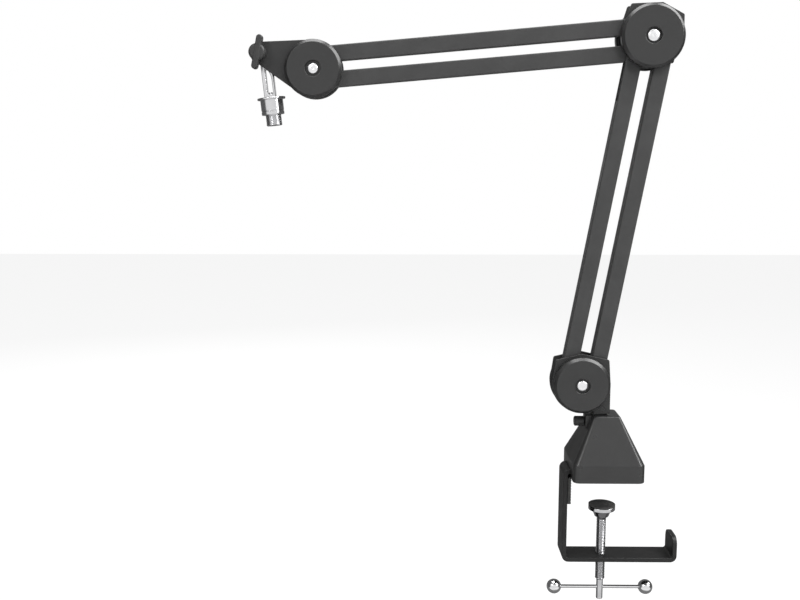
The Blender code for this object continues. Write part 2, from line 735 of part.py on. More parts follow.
def add_lock_screw():
    """The thumb screw that clamps the swivel post, turning about X."""
    tip = BOSS_X - (SWIVEL_X - POST_RADIUS + GROOVE) + GAP
    end = LOCK_STANDOFF + LOCK_HEAD_LENGTH
    profile = [(0, end), (LOCK_HEAD - LOCK_EDGE, end), (LOCK_HEAD, end - LOCK_EDGE),
               (LOCK_HEAD, LOCK_STANDOFF), (LOCK_SHANK, LOCK_STANDOFF), (LOCK_SHANK, tip), (0, tip)]
    mesh = turned_mesh("lock_screw", profile, steps=MEDIUM)
    add_piece("lock_screw", mesh, MOULDED, location=(BOSS_X, 0, LOCK_HEIGHT), turn=(0, -math.pi / 2, 0))


def add_clamp_screw():
    """The vertical screw, its swivelling pad and the tommy bar."""
    hub_low = PAD_TOP - PAD_DEPTH
    plate_low = PAD_TOP - PAD_FACE - GAP - PAD_PLATE
    plate_top = PAD_TOP - PAD_FACE - GAP
    face = rod_mesh("pad_face", PAD_RADIUS, plate_top + GAP, PAD_TOP, MEDIUM)
    add_piece("pad_face", face, RUBBER)
    socket = BALL_TIP + RUN
    tip = plate_low + BALL_NECK
    neck = BALL_NECK + RUN
    lip_top = hub_low + SOCKET_LIP
    profile = [(0, plate_top), (PAD_RADIUS, plate_top), (PAD_RADIUS, plate_low),
               (PAD_HUB, plate_low - PAD_TAPER), (PAD_HUB - PAD_TAPER, hub_low), (neck, hub_low),
               (neck, lip_top), (socket, lip_top), (socket, tip + GAP), (0, tip + GAP)]
    add_piece("pressure_pad", turned_mesh("pressure_pad", profile, steps=MEDIUM), CHROME)

    collar = lip_top + GAP
    runout = hub_low - THREAD_RUNOUT
    profile = [(0, tip), (BALL_TIP - TIP_EDGE, tip), (BALL_TIP, tip - TIP_EDGE),
               (BALL_TIP, collar), (BALL_NECK, collar), (BALL_NECK, runout),
               (THREAD_RADIUS, runout - TIP_EDGE), (THREAD_RADIUS, THREAD_LOW),
               (SHANK_RADIUS, THREAD_LOW - THREAD_RUNOUT), (SHANK_RADIUS, SCREW_LOW + SCREW_EDGE),
               (SHANK_RADIUS - SCREW_EDGE, SCREW_LOW), (0, SCREW_LOW)]
    screw = add_piece("clamp_screw", turned_mesh("clamp_screw", profile, steps=MEDIUM), CHROME)
    across = rod_mesh("tommy_hole", TOMMY_RADIUS + RUN, -3 * THREAD_RADIUS, 3 * THREAD_RADIUS)
    place = (0, 0, TOMMY_HEIGHT)
    combine(screw, add_cutter("tommy_hole", across, location=place, turn=(0, math.pi / 2, 0)))

    reach = TOMMY_HALF - TOMMY_BALL + BALL_GRIP
    bar = rod_mesh("tommy_bar", TOMMY_RADIUS, -reach, reach)
    add_piece("tommy_bar", bar, CHROME, location=(0, 0, TOMMY_HEIGHT), turn=(0, math.pi / 2, 0))
    hole = TOMMY_RADIUS + RUN
    mouth = math.degrees(math.asin(hole / TOMMY_BALL))
    outside = arc((0, 0), TOMMY_BALL, 90, -90 + mouth, MEDIUM // 2)
    profile = outside + [(hole, -TOMMY_BALL + BALL_GRIP + GAP), (0, -TOMMY_BALL + BALL_GRIP + GAP)]
    for label, side in (("left", -1), ("right", 1)):
        ball = turned_mesh("tommy_ball_" + label, profile, steps=MEDIUM)
        add_piece("tommy_ball_" + label, ball, CHROME,
                  location=(side * TOMMY_HALF, 0, TOMMY_HEIGHT), turn=(0, side * math.pi / 2, 0))


def add_swivel():
    """The lower hub on its post, turning about the post's upright axis."""
    body = pivot("swivel", (SWIVEL_X, 0, 0))
    hub = LOWER_HUB - Vector((SWIVEL_X, 0, 0))
    right = hub.x + STEM_EDGE - BLOCK_INSET
    left = hub.x + STEM_EDGE - STEM_WIDTH
    block_half = WIDE_PLATE - GAP
    block = box_mesh("swivel_post", (left, -block_half, BLOCK_LOW),
                     (right, block_half, BLOCK_LOW + BLOCK_HEIGHT))
    post = add_piece("swivel_post", block, PAINT, body)
    low = LOCK_HEIGHT - GROOVE_HALF
    high = LOCK_HEIGHT + GROOVE_HALF
    neck = POST_RADIUS - GROOVE
    root = BLOCK_LOW + POST_ROOT
    profile = [(0, root), (POST_RADIUS, root), (POST_RADIUS, high), (neck, high - GROOVE / 2),
               (neck, low + GROOVE / 2), (POST_RADIUS, low), (POST_RADIUS, POST_LOW + POST_EDGE),
               (POST_RADIUS - POST_EDGE, POST_LOW), (0, POST_LOW)]
    spigot = turned_mesh("spigot", profile, steps=MEDIUM)
    combine(post, add_cutter("spigot", spigot, body), "UNION")
    hole = rod_mesh("rivet_hole", PIN_RADIUS + RUN, -2 * block_half, 2 * block_half)
    place = hub + Vector((STEM_RIVET[0], 0, STEM_RIVET[1]))
    combine(post, add_cutter("rivet_hole", hole, body, place, (TO_FRONT, 0, 0)))

    add_plates("lower", body, hub, lower_plate_loops(), WIDE_PLATE)
    add_hub_covers("lower", body, hub, LOWER_DISC, LOWER_BOLT, WIDE_PLATE)
    face = WIDE_PLATE + PLATE
    add_pin("lower_pin_left", body, hub, (-LOWER_SPACING / 2, 0), face)
    add_pin("lower_pin_right", body, hub, (LOWER_SPACING / 2, 0), face)
    dowel = rod_mesh("stem_rivet", PIN_RADIUS, -face, face)
    add_piece("stem_rivet", dowel, PAINT, body, place, (TO_FRONT, 0, 0))
    return body


def add_lower_arm(swivel):
    """The two lower bars; the elbow hangs on the left one."""
    hub = LOWER_HUB - Vector((SWIVEL_X, 0, 0))
    turn = LOWER_LEAN - math.pi / 2
    half = LOWER_SPACING / 2
    holes = (BUSH_RADIUS + GAP, PIN_RADIUS + RUN)
    bodies = []
    for label, side, slot in (("left", -1, LONG_SLOT), ("right", 1, SHORT_SLOT)):
        name = "lower_bar_" + label
        body = pivot(name + "_pivot", hub + Vector((side * half, 0, 0)), swivel, turn)
        add_bar(name, body, LOWER_ARM, LOWER_BAR_DEPTH, LOWER_BAR_WALL, holes, slot)
        bush = bush_mesh(name + "_bush", PIN_RADIUS + RUN, BUSH_RADIUS, LOWER_HALF)
        add_piece(name + "_bush", bush, NYLON, body, turn=(TO_FRONT, 0, 0))
        bodies.append(body)
    add_spring("lower_spring", bodies[0], LOWER_SPRING_RADIUS, LOWER_INNER)
    return bodies[0]


def add_elbow(lower_bar):
    """The elbow hub, kept level by the second lower bar."""
    body = pivot("elbow", (LOWER_ARM, 0, 0), lower_bar, math.pi / 2 - LOWER_LEAN)
    hub = Vector((LOWER_SPACING / 2, 0, ELBOW_PIVOT_DROP))
    add_plates("elbow", body, hub, elbow_plate_loops(), WIDE_PLATE)
    add_hub_covers("elbow", body, hub, ELBOW_DISC, ELBOW_BOLT, WIDE_PLATE)
    face = WIDE_PLATE + PLATE
    low = -ELBOW_PIVOT_DROP
    add_pin("elbow_pin_low", body, hub, (0, low), face)
    add_pin("elbow_pin_high", body, hub, (0, low + UPPER_SPACING), face)
    for label, side in (("left", -1), ("right", 1)):
        for depth, turn in (("front", TO_FRONT), ("rear", TO_REAR)):
            name = "elbow_stub_" + label + "_" + depth
            place = hub + Vector((side * LOWER_SPACING / 2, 0, low))
            stub = stub_mesh(name, UPPER_HALF + GAP, face)
            add_piece(name, stub, STEEL, body, place, (turn, 0, 0))
    return body


def add_upper_arm(elbow):
    """The two upper bars; the head hangs on the top one."""
    turn = math.pi - UPPER_DROP
    hole = PIN_RADIUS + RUN
    bodies = []
    for label, rise in (("top", UPPER_SPACING), ("bottom", 0)):
        name = "upper_bar_" + label
        body = pivot(name + "_pivot", (LOWER_SPACING / 2, 0, rise), elbow, turn)
        add_bar(name, body, UPPER_ARM, UPPER_BAR_DEPTH, UPPER_BAR_WALL, (hole, hole))
        bodies.append(body)
    add_spring("upper_spring", bodies[0], UPPER_SPRING_RADIUS, UPPER_INNER)
    return bodies[0]


def add_head(upper_bar):
    """The head hub, kept level by the second upper bar, with its tapered nose."""
    body = pivot("head", (UPPER_ARM, 0, 0), upper_bar, UPPER_DROP - math.pi)
    hub = Vector((0, 0, -UPPER_SPACING / 2 - PAIR_DROP))
    add_plates("head", body, hub, head_plate_loops(), NARROW_PLATE)
    add_hub_covers("head", body, hub, HEAD_DISC, HEAD_BOLT, NARROW_PLATE)
    face = NARROW_PLATE + PLATE
    add_pin("head_pin_low", body, hub, (0, PAIR_DROP - UPPER_SPACING / 2), face)
    add_pin("head_pin_high", body, hub, (0, PAIR_DROP + UPPER_SPACING / 2), face)

    knob = hub + Vector((KNOB_OUT, 0, KNOB_UP))
    washer = bush_mesh("wing_washer", WING_SHANK + RUN, WASHER_RADIUS, WASHER / 2)
    front = -face - GAP - WASHER / 2
    add_piece("wing_washer", washer, CHROME, body, knob + Vector((0, front, 0)), (TO_FRONT, 0, 0))
    hole = rod_mesh("nut_hole", WING_SHANK + RUN, face - GAP, face + 2 * NUT)
    under = face + GAP
    profile = [(0, under + NUT), (NUT_RADIUS, under + NUT), (NUT_RADIUS, under), (0, under)]
    hexagon = turned_mesh("wing_nut", profile, steps=6)
    piece = add_piece("wing_nut", hexagon, STEEL, body, knob, (TO_REAR, 0, 0))
    combine(piece, add_cutter("nut_hole", hole, body, knob, (TO_REAR, 0, 0)))
    return body, knob, face


def add_wing_screw(head, knob, face):
    """The hand screw through the nose; its wings are one bar across the body."""
    start = face + WASHER + 2 * GAP
    end = start + WING_BODY_LENGTH
    tip = -face - NUT
    profile = [(0, end), (WING_BODY - WING_EDGE, end), (WING_BODY, end - WING_EDGE),
               (WING_BODY, start + WING_EDGE), (WING_BODY - WING_EDGE, start),
               (WING_SHANK, start), (WING_SHANK, tip), (0, tip)]
    mesh = turned_mesh("wing_screw", profile, steps=MEDIUM)
    screw = add_piece("wing_screw", mesh, MOULDED, head, knob, (TO_FRONT, 0, 0))
    half = WING_WIDTH / 2
    reach = WING_REACH - half
    upper, lower = WING_SHIFTS
    outline = arc((upper, reach), half, 0, 180, 6) + arc((lower, -reach), half, 180, 360, 6)
    wing = sheet_mesh("wing", [outline], -end - WING_PROUD, -end + WING_LENGTH)
    combine(screw, add_cutter("wing", wing, head, knob, (0, WING_TILT, 0)), "UNION")


def yoke_loops():
    """The yoke's outline and window: an eye, a straight leg, an arched leg and a foot."""
    eye = arc((0, 0), YOKE_EYE, -10, 260, SMALL)
    legs = [(LEG_LEFT, -YOKE_EYE - GAP), (LEG_LEFT, -YOKE_DROP), (LEG_RIGHT, -YOKE_DROP)]
    arch = arc((LEG_RIGHT - SHOULDER, -SHOULDER_DROP), SHOULDER, 0, 55, 5)
    window_left = LEG_LEFT + LEG
    window_right = LEG_RIGHT - THIN_LEG
    width = window_right - window_left
    foot = -YOKE_DROP + YOKE_FOOT
    low = -WINDOW_TOP - WINDOW_RISE
    curve = []
    for step in range(7):
        angle = math.pi / 2 * step / 6
        curve.append((window_left + width * math.sin(angle), low + WINDOW_RISE * math.cos(angle)))
    window = [(window_left, foot)] + curve + [(window_right, foot)]
    return [eye + legs + arch, circle((0, 0), WING_SHANK + RUN, SMALL), window]


def add_yoke(head, knob):
    """The yoke between the nose plates and the threaded adapter under it."""
    body = pivot("yoke_pivot", knob, head, -YOKE_TILT)
    half = YOKE_DEPTH / 2
    yoke = add_piece("yoke", sheet_mesh("yoke", yoke_loops(), -half, half), CHROME, body)
    middle = (LEG_LEFT + LEG_RIGHT) / 2 + ADAPTER_SHIFT
    hole = rod_mesh("foot_hole", RIVET_RADIUS + RUN, -YOKE_DROP - YOKE_FOOT, -YOKE_DROP + 2 * YOKE_FOOT)
    combine(yoke, add_cutter("foot_hole", hole, body, (middle, 0, 0)))

    head_low = -YOKE_DROP + YOKE_FOOT + GAP
    head_top = head_low + RIVET_HEAD
    top = -YOKE_DROP - GAP
    collar_top = top - FLANGE
    collar_low = collar_top - COLLAR
    stud_low = collar_low - STUD
    profile = [(0, head_top), (RIVET_HEAD_RADIUS, head_top), (RIVET_HEAD_RADIUS, head_low),
               (RIVET_RADIUS, head_low), (RIVET_RADIUS, top), (FLANGE_RADIUS, top),
               (FLANGE_RADIUS, collar_top), (COLLAR_RADIUS, collar_top), (COLLAR_RADIUS, collar_low),
               (STUD_RADIUS, collar_low), (STUD_RADIUS, stud_low + STUD_EDGE),
               (STUD_RADIUS - STUD_EDGE, stud_low), (0, stud_low)]
    adapter = turned_mesh("thread_adapter", profile, steps=ROUND)
    add_piece("thread_adapter", adapter, CHROME, body, (middle, 0, 0))


def main():
    """Build the stand from the desk up."""
    add_base()
    add_lock_screw()
    add_clamp_screw()
    swivel = add_swivel()
    lower_bar = add_lower_arm(swivel)
    elbow = add_elbow(lower_bar)
    upper_bar = add_upper_arm(elbow)
    head, knob, face = add_head(upper_bar)
    add_wing_screw(head, knob, face)
    add_yoke(head, knob)


main()
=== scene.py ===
"""The look of the desktop microphone stand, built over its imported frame.

Metres, +Z up, +X to the photograph's right, +Y away from the camera.
Each piece takes its place and size from the node that it stands for.
"""

import json
import math

import bmesh
import bpy
from mathutils import Matrix, Vector


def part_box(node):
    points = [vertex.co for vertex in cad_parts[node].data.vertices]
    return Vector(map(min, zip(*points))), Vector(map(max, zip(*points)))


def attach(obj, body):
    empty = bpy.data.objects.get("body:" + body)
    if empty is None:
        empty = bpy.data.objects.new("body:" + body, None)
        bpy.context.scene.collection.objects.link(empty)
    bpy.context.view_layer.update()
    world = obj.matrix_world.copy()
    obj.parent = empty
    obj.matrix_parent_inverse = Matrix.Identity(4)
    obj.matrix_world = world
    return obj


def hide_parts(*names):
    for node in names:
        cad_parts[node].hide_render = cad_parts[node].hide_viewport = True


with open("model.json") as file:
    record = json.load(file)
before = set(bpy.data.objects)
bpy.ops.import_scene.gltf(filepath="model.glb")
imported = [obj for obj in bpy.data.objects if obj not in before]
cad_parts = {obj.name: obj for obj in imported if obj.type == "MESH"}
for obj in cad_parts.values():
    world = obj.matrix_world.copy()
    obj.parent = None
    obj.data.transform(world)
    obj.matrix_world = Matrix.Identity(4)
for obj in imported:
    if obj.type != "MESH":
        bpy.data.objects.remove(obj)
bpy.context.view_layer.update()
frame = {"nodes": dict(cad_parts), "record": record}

# Turns that point local Z to the front, -Y, the rear, the right, +X, or the left
TO_FRONT = (math.pi / 2, 0, 0)
TO_REAR = (-math.pi / 2, 0, 0)
TO_RIGHT = (0, math.pi / 2, 0)
TO_LEFT = (0, -math.pi / 2, 0)

# Facets round a turned piece
FINE = 96
GOOD = 72
MEDIUM = 48
SCREW_FACETS = 56
STUD_FACETS = 64

# Play between fitted pieces, and how far a cutter runs past what it cuts
PLAY = 0.0003
CUT = 0.02

# Bars
BAR_WIDTH = 0.0160
BAR_EDGE = 0.0013
LOWER_WALL = 0.0020
UPPER_WALL = 0.0015
LONG_SLOT = 0.050
SHORT_SLOT = 0.020
BAR_END_STEPS = 28
BUSH_HOLE = 0.0049
PIN_HOLE = 0.0028

# Cover discs and their bolts
RIM_BEVEL = 0.0028
RIM_SLOPE = 0.0027
RIM_WALL = 0.0030
DISC_SKIN = 0.0025
DISH = 0.0003
DISH_RING = 0.0040
DISH_SHARE = 0.2
RECESS_RADIUS = 0.0079
RECESS_DEPTH = 0.0038
CUP_RADIUS = 0.0105
CUP_FLOOR = 0.0018
BOSS_RADIUS = 0.0062
BOLT_HOLE = 0.0033
BOLT_SHANK = 0.0030
BOLT_HEAD = 0.0030
BOLT_SIDE = 0.0009
DOME_START = math.radians(12)
DOME_SHARE = 0.999
DOME_STEPS = 6
HEX_RADIUS = 0.0017
HEX_DEPTH = 0.0007
HEX_LIP = 0.0006
HEX_POINT = 0.0006

# Hub plates, from the hub's centre
PLATE_EDGE = 0.0004
PLATE_ROUND = 0.0020
STEM_RIGHT = 0.0304
STEM_WIDTH = 0.0166
LOWER_HEEL = 0.0298
LOWER_HEEL_ARC = (-182, -75)
LOWER_CORNERS = ((0.0285, 0.0253), (0.0, 0.0316), (-0.0262, 0.0253))
ELBOW_HEEL = 0.0294
ELBOW_HEEL_ARC = (-188, -62)
ELBOW_CORNERS = ((0.0216, -0.0272), (0.0315, 0.0080), (0.0313, 0.0212),
                 (0.0100, 0.0326), (-0.0209, 0.0314))
HEAD_HEEL_ARC = (-15, -112)
HEAD_TOP = 0.0288
HEAD_TOP_ARC = (88, 52)
NOSE_TOP = 0.0268
NOSE_WRAP = 0.0080
NOSE_BELOW = 0.7
NOSE_ABOVE = 0.8
NOSE_SLOPE = 0.0035
HEAD_LUG = ((0.0190, 0.0221), (0.0274, 0.0098))
PLATE_PINS = {"lower": ("lower_pin_left", "lower_pin_right", "stem_rivet"),
              "elbow": ("elbow_pin_high", "elbow_pin_low",
                        "elbow_stub_left_front", "elbow_stub_right_front"),
              "head": ("head_pin_high", "head_pin_low", "wing_nut")}

# Base housing, its corners seen from above and its bends seen from the side
SKIRT_TOP = 0.0192
SKIRT_CORNER = 0.0062
SKIRT_FOOT = 0.0009
SKIRT_BEND = 0.0034
TOP_HALF_X = 0.0136
TOP_HALF_Y = 0.0160
TOP_CORNER = 0.0026
TOP_BEND = 0.0024
END_FLAT = 0.004
MOST_CORNER = 0.45
HOUSING_WALL = 0.0035
HOUSING_CAVITY = 0.0360
CAVITY_CORNER = 0.002
BOSS_X = -0.0210
BOSS_HALF = 0.0080
BOSS_LOW = 0.0420
BOSS_CORNER = 0.0012
BOSS_BREAK = 0.0008
BOSS_DROP = 0.0005
SWIVEL_X = -0.0042
BUSH_BORE = 0.0093

# Clamp
STRAP = 0.0046
STRAP_BEND = 0.0047
STRAP_EDGE = 0.0008
STRAP_END = 0.0290
STRAP_HOLE = 0.0025
JAW_HOLE = 0.0053
LIP_TOP = -0.0640
LIP_CORNER = 0.0085
LIP_STEPS = 12
EDGE_PAD_RISE = 0.0016
EDGE_PAD_SLANT = 0.0013
EDGE_PAD_EDGE = 0.0003
RIBS = 9
RIB_DEPTH = 0.0004
RIB_STEPS = 8
BASE_PAD_CORNER = 0.002
BASE_PAD_EDGE = 0.0005
BASE_PAD_HOLE = 0.0045

# Clamp screw; its tip, the runout of its thread and its lower end as steps in radius and height
SCREW_RUNOUT = ((0.0004, 0.0009), (0, 0.0014))
SCREW_END = ((0, 0.0008), (0.0003, 0.0002), (0.0008, 0))
THREAD_PITCH = 0.00175
THREAD_DEPTH = 0.00085
THREAD_LOW = -0.1145
THREAD_TOP = -0.0484
THREAD_ROWS = 12
THREAD_CREST = 0.14
THREAD_FLANK = 0.66
SHANK_RADIUS = 0.0035
SCREW_TIP = ((0, 0), (0.0036, 0.0001), (0.0045, 0.0008), (0.0047, 0.0020))
TIP_LOW_RADIUS = 0.0046
TIP_RISE = 0.0042
NECK_RISE = 0.0036
NECK_DROP = 0.0012
SCREW_NECK = 0.0034
TOMMY_HOLE = 0.0021
BALL_GRIP = 0.0050

# Pressure pad and its rubber face
PAD_PLATE = 0.0040
PAD_TAPER = 0.0012
PAD_WAIST = 0.0098
PAD_FOOT = 0.0072
SOCKET_MOUTH = 0.0037
SOCKET_LIP = 0.0022
SOCKET_STEP = 0.0002
SOCKET = 0.0051
FACE_RINGS = 6
RING_STEPS = 8
RING_DEPTH = 0.0003
FACE_EDGE = 0.0006

# Swivel post
POST_EDGE = 0.0006
POST_CORNER = 0.0015
SPIGOT = 0.0065
SPIGOT_ROOT = 0.004
POST_GROOVE = 0.0055
POST_GROOVE_HALF = 0.0030
POST_GROOVE_MOUTH = 0.0035

# Lock screw
LOCK_HEAD = 0.0101
LOCK_SHANK = 0.0025
LOCK_HOLE_START = -0.006
LOCK_RIM = 0.0008
LOCK_DISH_RIM = 0.0018
LOCK_DISH_EDGE = 0.0024
LOCK_DISH = 0.0002
LOCK_BREAK = 0.0006

# Wing screw
WING_BODY = 0.0083
WING_LENGTH = 0.0125
WING_REACH = 0.0168
WING_WIDTH = 0.0062
WING_DEPTH = 0.0105
WING_TILT = math.radians(7)
WING_SHIFT_HIGH = 0.0012
WING_SHIFT_LOW = -0.0008
WING_PROUD = 0.0006
WING_EDGE = 0.0016
WING_VOXEL = 0.0003
WING_MELTS = 10
WING_SHANK = 0.0030
WING_SHANK_SHORT = 0.0004
WING_SHANK_INSIDE = 0.002
WING_HOLE = WING_SHANK + PLAY

# Wing nut, its faces as shares of its radius over corners
NUT_FACE = 0.86
NUT_FOOT = 0.92
NUT_CLEAR = 1.02
NUT_FACE_SLOPE = 0.0007
NUT_FOOT_SLOPE = 0.0003

# Yoke and adapter
YOKE_TILT = math.radians(6)
YOKE_EYE = 0.0082
YOKE_EYE_ARC = (-10, 260)
LEG_LEFT = -0.0002
LEG_RIGHT = 0.0114
LEG = 0.0040
THIN_LEG = 0.0022
YOKE_EDGE = 0.00105
YOKE_DROP = 0.0437
YOKE_FOOT = 0.0030
SHOULDER = 0.0120
SHOULDER_DROP = 0.0190
SHOULDER_ARC = (0, 55)
WINDOW_TOP = 0.0165
WINDOW_RISE = 0.0110
WINDOW_STEPS = 12
ADAPTER_SHIFT = 0.0006
FLANGE_RADIUS = 0.0141
FLANGE = 0.0020
COLLAR_RADIUS = 0.0114
COLLAR = 0.0150
COLLAR_GROOVE = 0.0030
COLLAR_GROOVE_WIDTH = 0.0012
COLLAR_GROOVE_DEPTH = 0.0005
COLLAR_GROOVE_SLANT = 0.0003
STUD_RADIUS = 0.00794
STUD = 0.0110
STUD_PITCH = 0.00094
STUD_DEPTH = 0.00045
STUD_ROWS = 10
STUD_POINT = 0.0008
RIVET_HEAD = 0.0021
RIVET_RISE = 0.0016
RIVET_SHANK = 0.0015
RIVET_HOLE = 0.0018
RIVET_FIT = 0.00004

# The room round the stand: its darkest parts, its light on dull surfaces, and its middle's height
SHADE = 0.04
ROOM = 0.14
ROOM_MIDDLE = 0.2

# By direction, where its pale part fades out, and how much that part narrows behind the stand
SIDE_EDGE = (0.82, 0.95)
SIDE_SHIFT = 0.66
CEILING_EDGE = (0.64, 0.74)
CEILING_SHIFT = 0.58
BELOW_EDGE = (-0.96, -0.85)
BELOW_SHIFT = 0.87
BEHIND = (-0.3, 0.3)

# Floor
FLOOR_HEIGHT = -0.32
FLOOR_REACH = 6
FLOOR_COLOUR = (0.92, 0.92, 0.92, 1)
FLOOR_ROUGHNESS = 0.7
FLOOR_PLAIN = 0.90

# Lamps: name, place, aim, size, watts, and whether mirrors show them
LAMPS = (("key light", (0.95, -0.15, 1.35), (-0.05, 0, 0.25), 1.2, 40, True),
         ("top light", (-0.30, -0.12, 1.95), (-0.05, 0, 0.25), 1.1, 32, True),
         ("front light", (0.6, -1.9, 1.95), (-0.1, 0, 0.25), 1.2, 48, False),
         ("left edge light", (-1.1, -1.4, 1.25), (-0.05, 0, 0.1), 0.5, 7, True),
         ("right edge light", (1.4, -1.0, 0.95), (-0.05, 0, 0.1), 0.5, 7, True),
         ("rear light", (-0.9, 2.2, 1.2), (-0.1, 0, 0.25), 1.4, 42, False))

# Camera, by the photograph
CAMERA_PLACE = (-0.1983, -1.0158, 0.3255)
CAMERA_PITCH = math.radians(7.886)
CAMERA_YAW = math.radians(0.874)
LENS = 44.69
SENSOR = 36


def body_names():
    """The body that each node rides on."""
    owners = {}
    for body, nodes in frame["record"]["behaviour"]["bodies"].items():
        for node in nodes:
            owners[node] = body
    return owners


BODY_OF = body_names()


def middle(node):
    """The centre of a node's box."""
    low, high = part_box(node)
    return (Vector(low) + Vector(high)) / 2


def size_of(node):
    """The three sides of a node's box."""
    low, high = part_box(node)
    return Vector(high) - Vector(low)


# Shader groups


def start_group(name, inputs, outputs):
    """A node group with its named sockets, and its two end nodes."""
    tree = bpy.data.node_groups.new(name, "ShaderNodeTree")
    for label, kind, value in inputs:
        socket = tree.interface.new_socket(label, in_out="INPUT", socket_type=kind)
        socket.default_value = value
    for label, kind in outputs:
        tree.interface.new_socket(label, in_out="OUTPUT", socket_type=kind)
    return tree, tree.nodes.new("NodeGroupInput"), tree.nodes.new("NodeGroupOutput")


def maths(tree, operation, first, second, clamp=False):
    """A maths node on two sockets or numbers."""
    item = tree.nodes.new("ShaderNodeMath")
    item.operation = operation
    item.use_clamp = clamp
    for socket, value in zip(item.inputs, (first, second)):
        if isinstance(value, (int, float)):
            socket.default_value = value
        else:
            tree.links.new(value, socket)
    return item.outputs[0]


def noise(tree, scale, detail, place=None, roughness=0.5):
    """Noise in the piece's own metres."""
    item = tree.nodes.new("ShaderNodeTexNoise")
    item.inputs["Detail"].default_value = detail
    item.inputs["Roughness"].default_value = roughness
    if isinstance(scale, (int, float)):
        item.inputs["Scale"].default_value = scale
    else:
        tree.links.new(scale, item.inputs["Scale"])
    if place is None:
        place = tree.nodes.new("ShaderNodeTexCoord").outputs["Object"]
    tree.links.new(place, item.inputs["Vector"])
    return item.outputs[0]


def spread(tree, value, low, high, to_low=0.0, to_high=1.0):
    """A value stretched from one range to another, clamped."""
    item = tree.nodes.new("ShaderNodeMapRange")
    tree.links.new(value, item.inputs["Value"])
    for label, number in (("From Min", low), ("From Max", high), ("To Min", to_low), ("To Max", to_high)):
        item.inputs[label].default_value = number
    return item.outputs[0]


def grain_group():
    """Fine moulded or powder-coated grain, coarse swells under it."""
    tree, taken, given = start_group(
        "surface grain",
        [("Grain Scale", "NodeSocketFloat", 2500.0), ("Swell Scale", "NodeSocketFloat", 500.0),
         ("Swell", "NodeSocketFloat", 0.5)],
        [("Height", "NodeSocketFloat"), ("Tone", "NodeSocketFloat")])
    fine = noise(tree, taken.outputs["Grain Scale"], 2.0)
    swell = noise(tree, taken.outputs["Swell Scale"], 1.0)
    share = maths(tree, "MULTIPLY", swell, taken.outputs["Swell"])
    height = maths(tree, "ADD", fine, share)
    tree.links.new(height, given.inputs["Height"])
    tree.links.new(spread(tree, fine, 0.35, 0.65), given.inputs["Tone"])
    return tree


def handling_group():
    """Broad soft patches where hands have polished or dulled a finish."""
    tree, taken, given = start_group(
        "handling marks",
        [("Patch Scale", "NodeSocketFloat", 40.0), ("Amount", "NodeSocketFloat", 1.0)],
        [("Mask", "NodeSocketFloat")])
    patches = noise(tree, taken.outputs["Patch Scale"], 3.0, roughness=0.6)
    clear = spread(tree, patches, 0.42, 0.68)
    tree.links.new(maths(tree, "MULTIPLY", clear, taken.outputs["Amount"]), given.inputs["Mask"])
    return tree


def edge_group():
    """A mask along outside edges, broken up so that it looks worn."""
    tree, taken, given = start_group(
        "edge wear",
        [("Width", "NodeSocketFloat", 0.0006), ("Amount", "NodeSocketFloat", 1.0)],
        [("Mask", "NodeSocketFloat")])
    bevel = tree.nodes.new("ShaderNodeBevel")
    bevel.samples = 4
    tree.links.new(taken.outputs["Width"], bevel.inputs["Radius"])
    shape = tree.nodes.new("ShaderNodeNewGeometry")
    turn = tree.nodes.new("ShaderNodeVectorMath")
    turn.operation = "DOT_PRODUCT"
    tree.links.new(bevel.outputs["Normal"], turn.inputs[0])
    tree.links.new(shape.outputs["Normal"], turn.inputs[1])
    edge = spread(tree, turn.outputs["Value"], 0.985, 0.80)
    broken = spread(tree, noise(tree, 900.0, 4.0), 0.35, 0.6)
    mask = maths(tree, "MULTIPLY", edge, broken)
    tree.links.new(maths(tree, "MULTIPLY", mask, taken.outputs["Amount"]), given.inputs["Mask"])
    return tree


def scratch_group():
    """Hairline scratches along and across, for plated and drawn metal."""
    tree, taken, given = start_group(
        "hairline scratches",
        [("Fineness", "NodeSocketFloat", 1500.0), ("Amount", "NodeSocketFloat", 1.0)],
        [("Mask", "NodeSocketFloat")])
    place = tree.nodes.new("ShaderNodeTexCoord").outputs["Object"]
    masks = []
    for stretch in ((1.0, 1.0, 0.04), (0.05, 1.0, 1.0)):
        squeeze = tree.nodes.new("ShaderNodeMapping")
        squeeze.inputs["Scale"].default_value = stretch
        squeeze.inputs["Rotation"].default_value = (0.3, 0.2, 0.5)
        tree.links.new(place, squeeze.inputs["Vector"])
        lines = noise(tree, taken.outputs["Fineness"], 2.0, squeeze.outputs["Vector"])
        masks.append(spread(tree, lines, 0.60, 0.74))
    both = maths(tree, "MAXIMUM", masks[0], masks[1])
    tree.links.new(maths(tree, "MULTIPLY", both, taken.outputs["Amount"]), given.inputs["Mask"])
    return tree


def back_shift(tree, ahead, amount):
    """How much narrower the pale part of the room is behind the stand."""
    return spread(tree, ahead, *BEHIND, 0.0, amount)


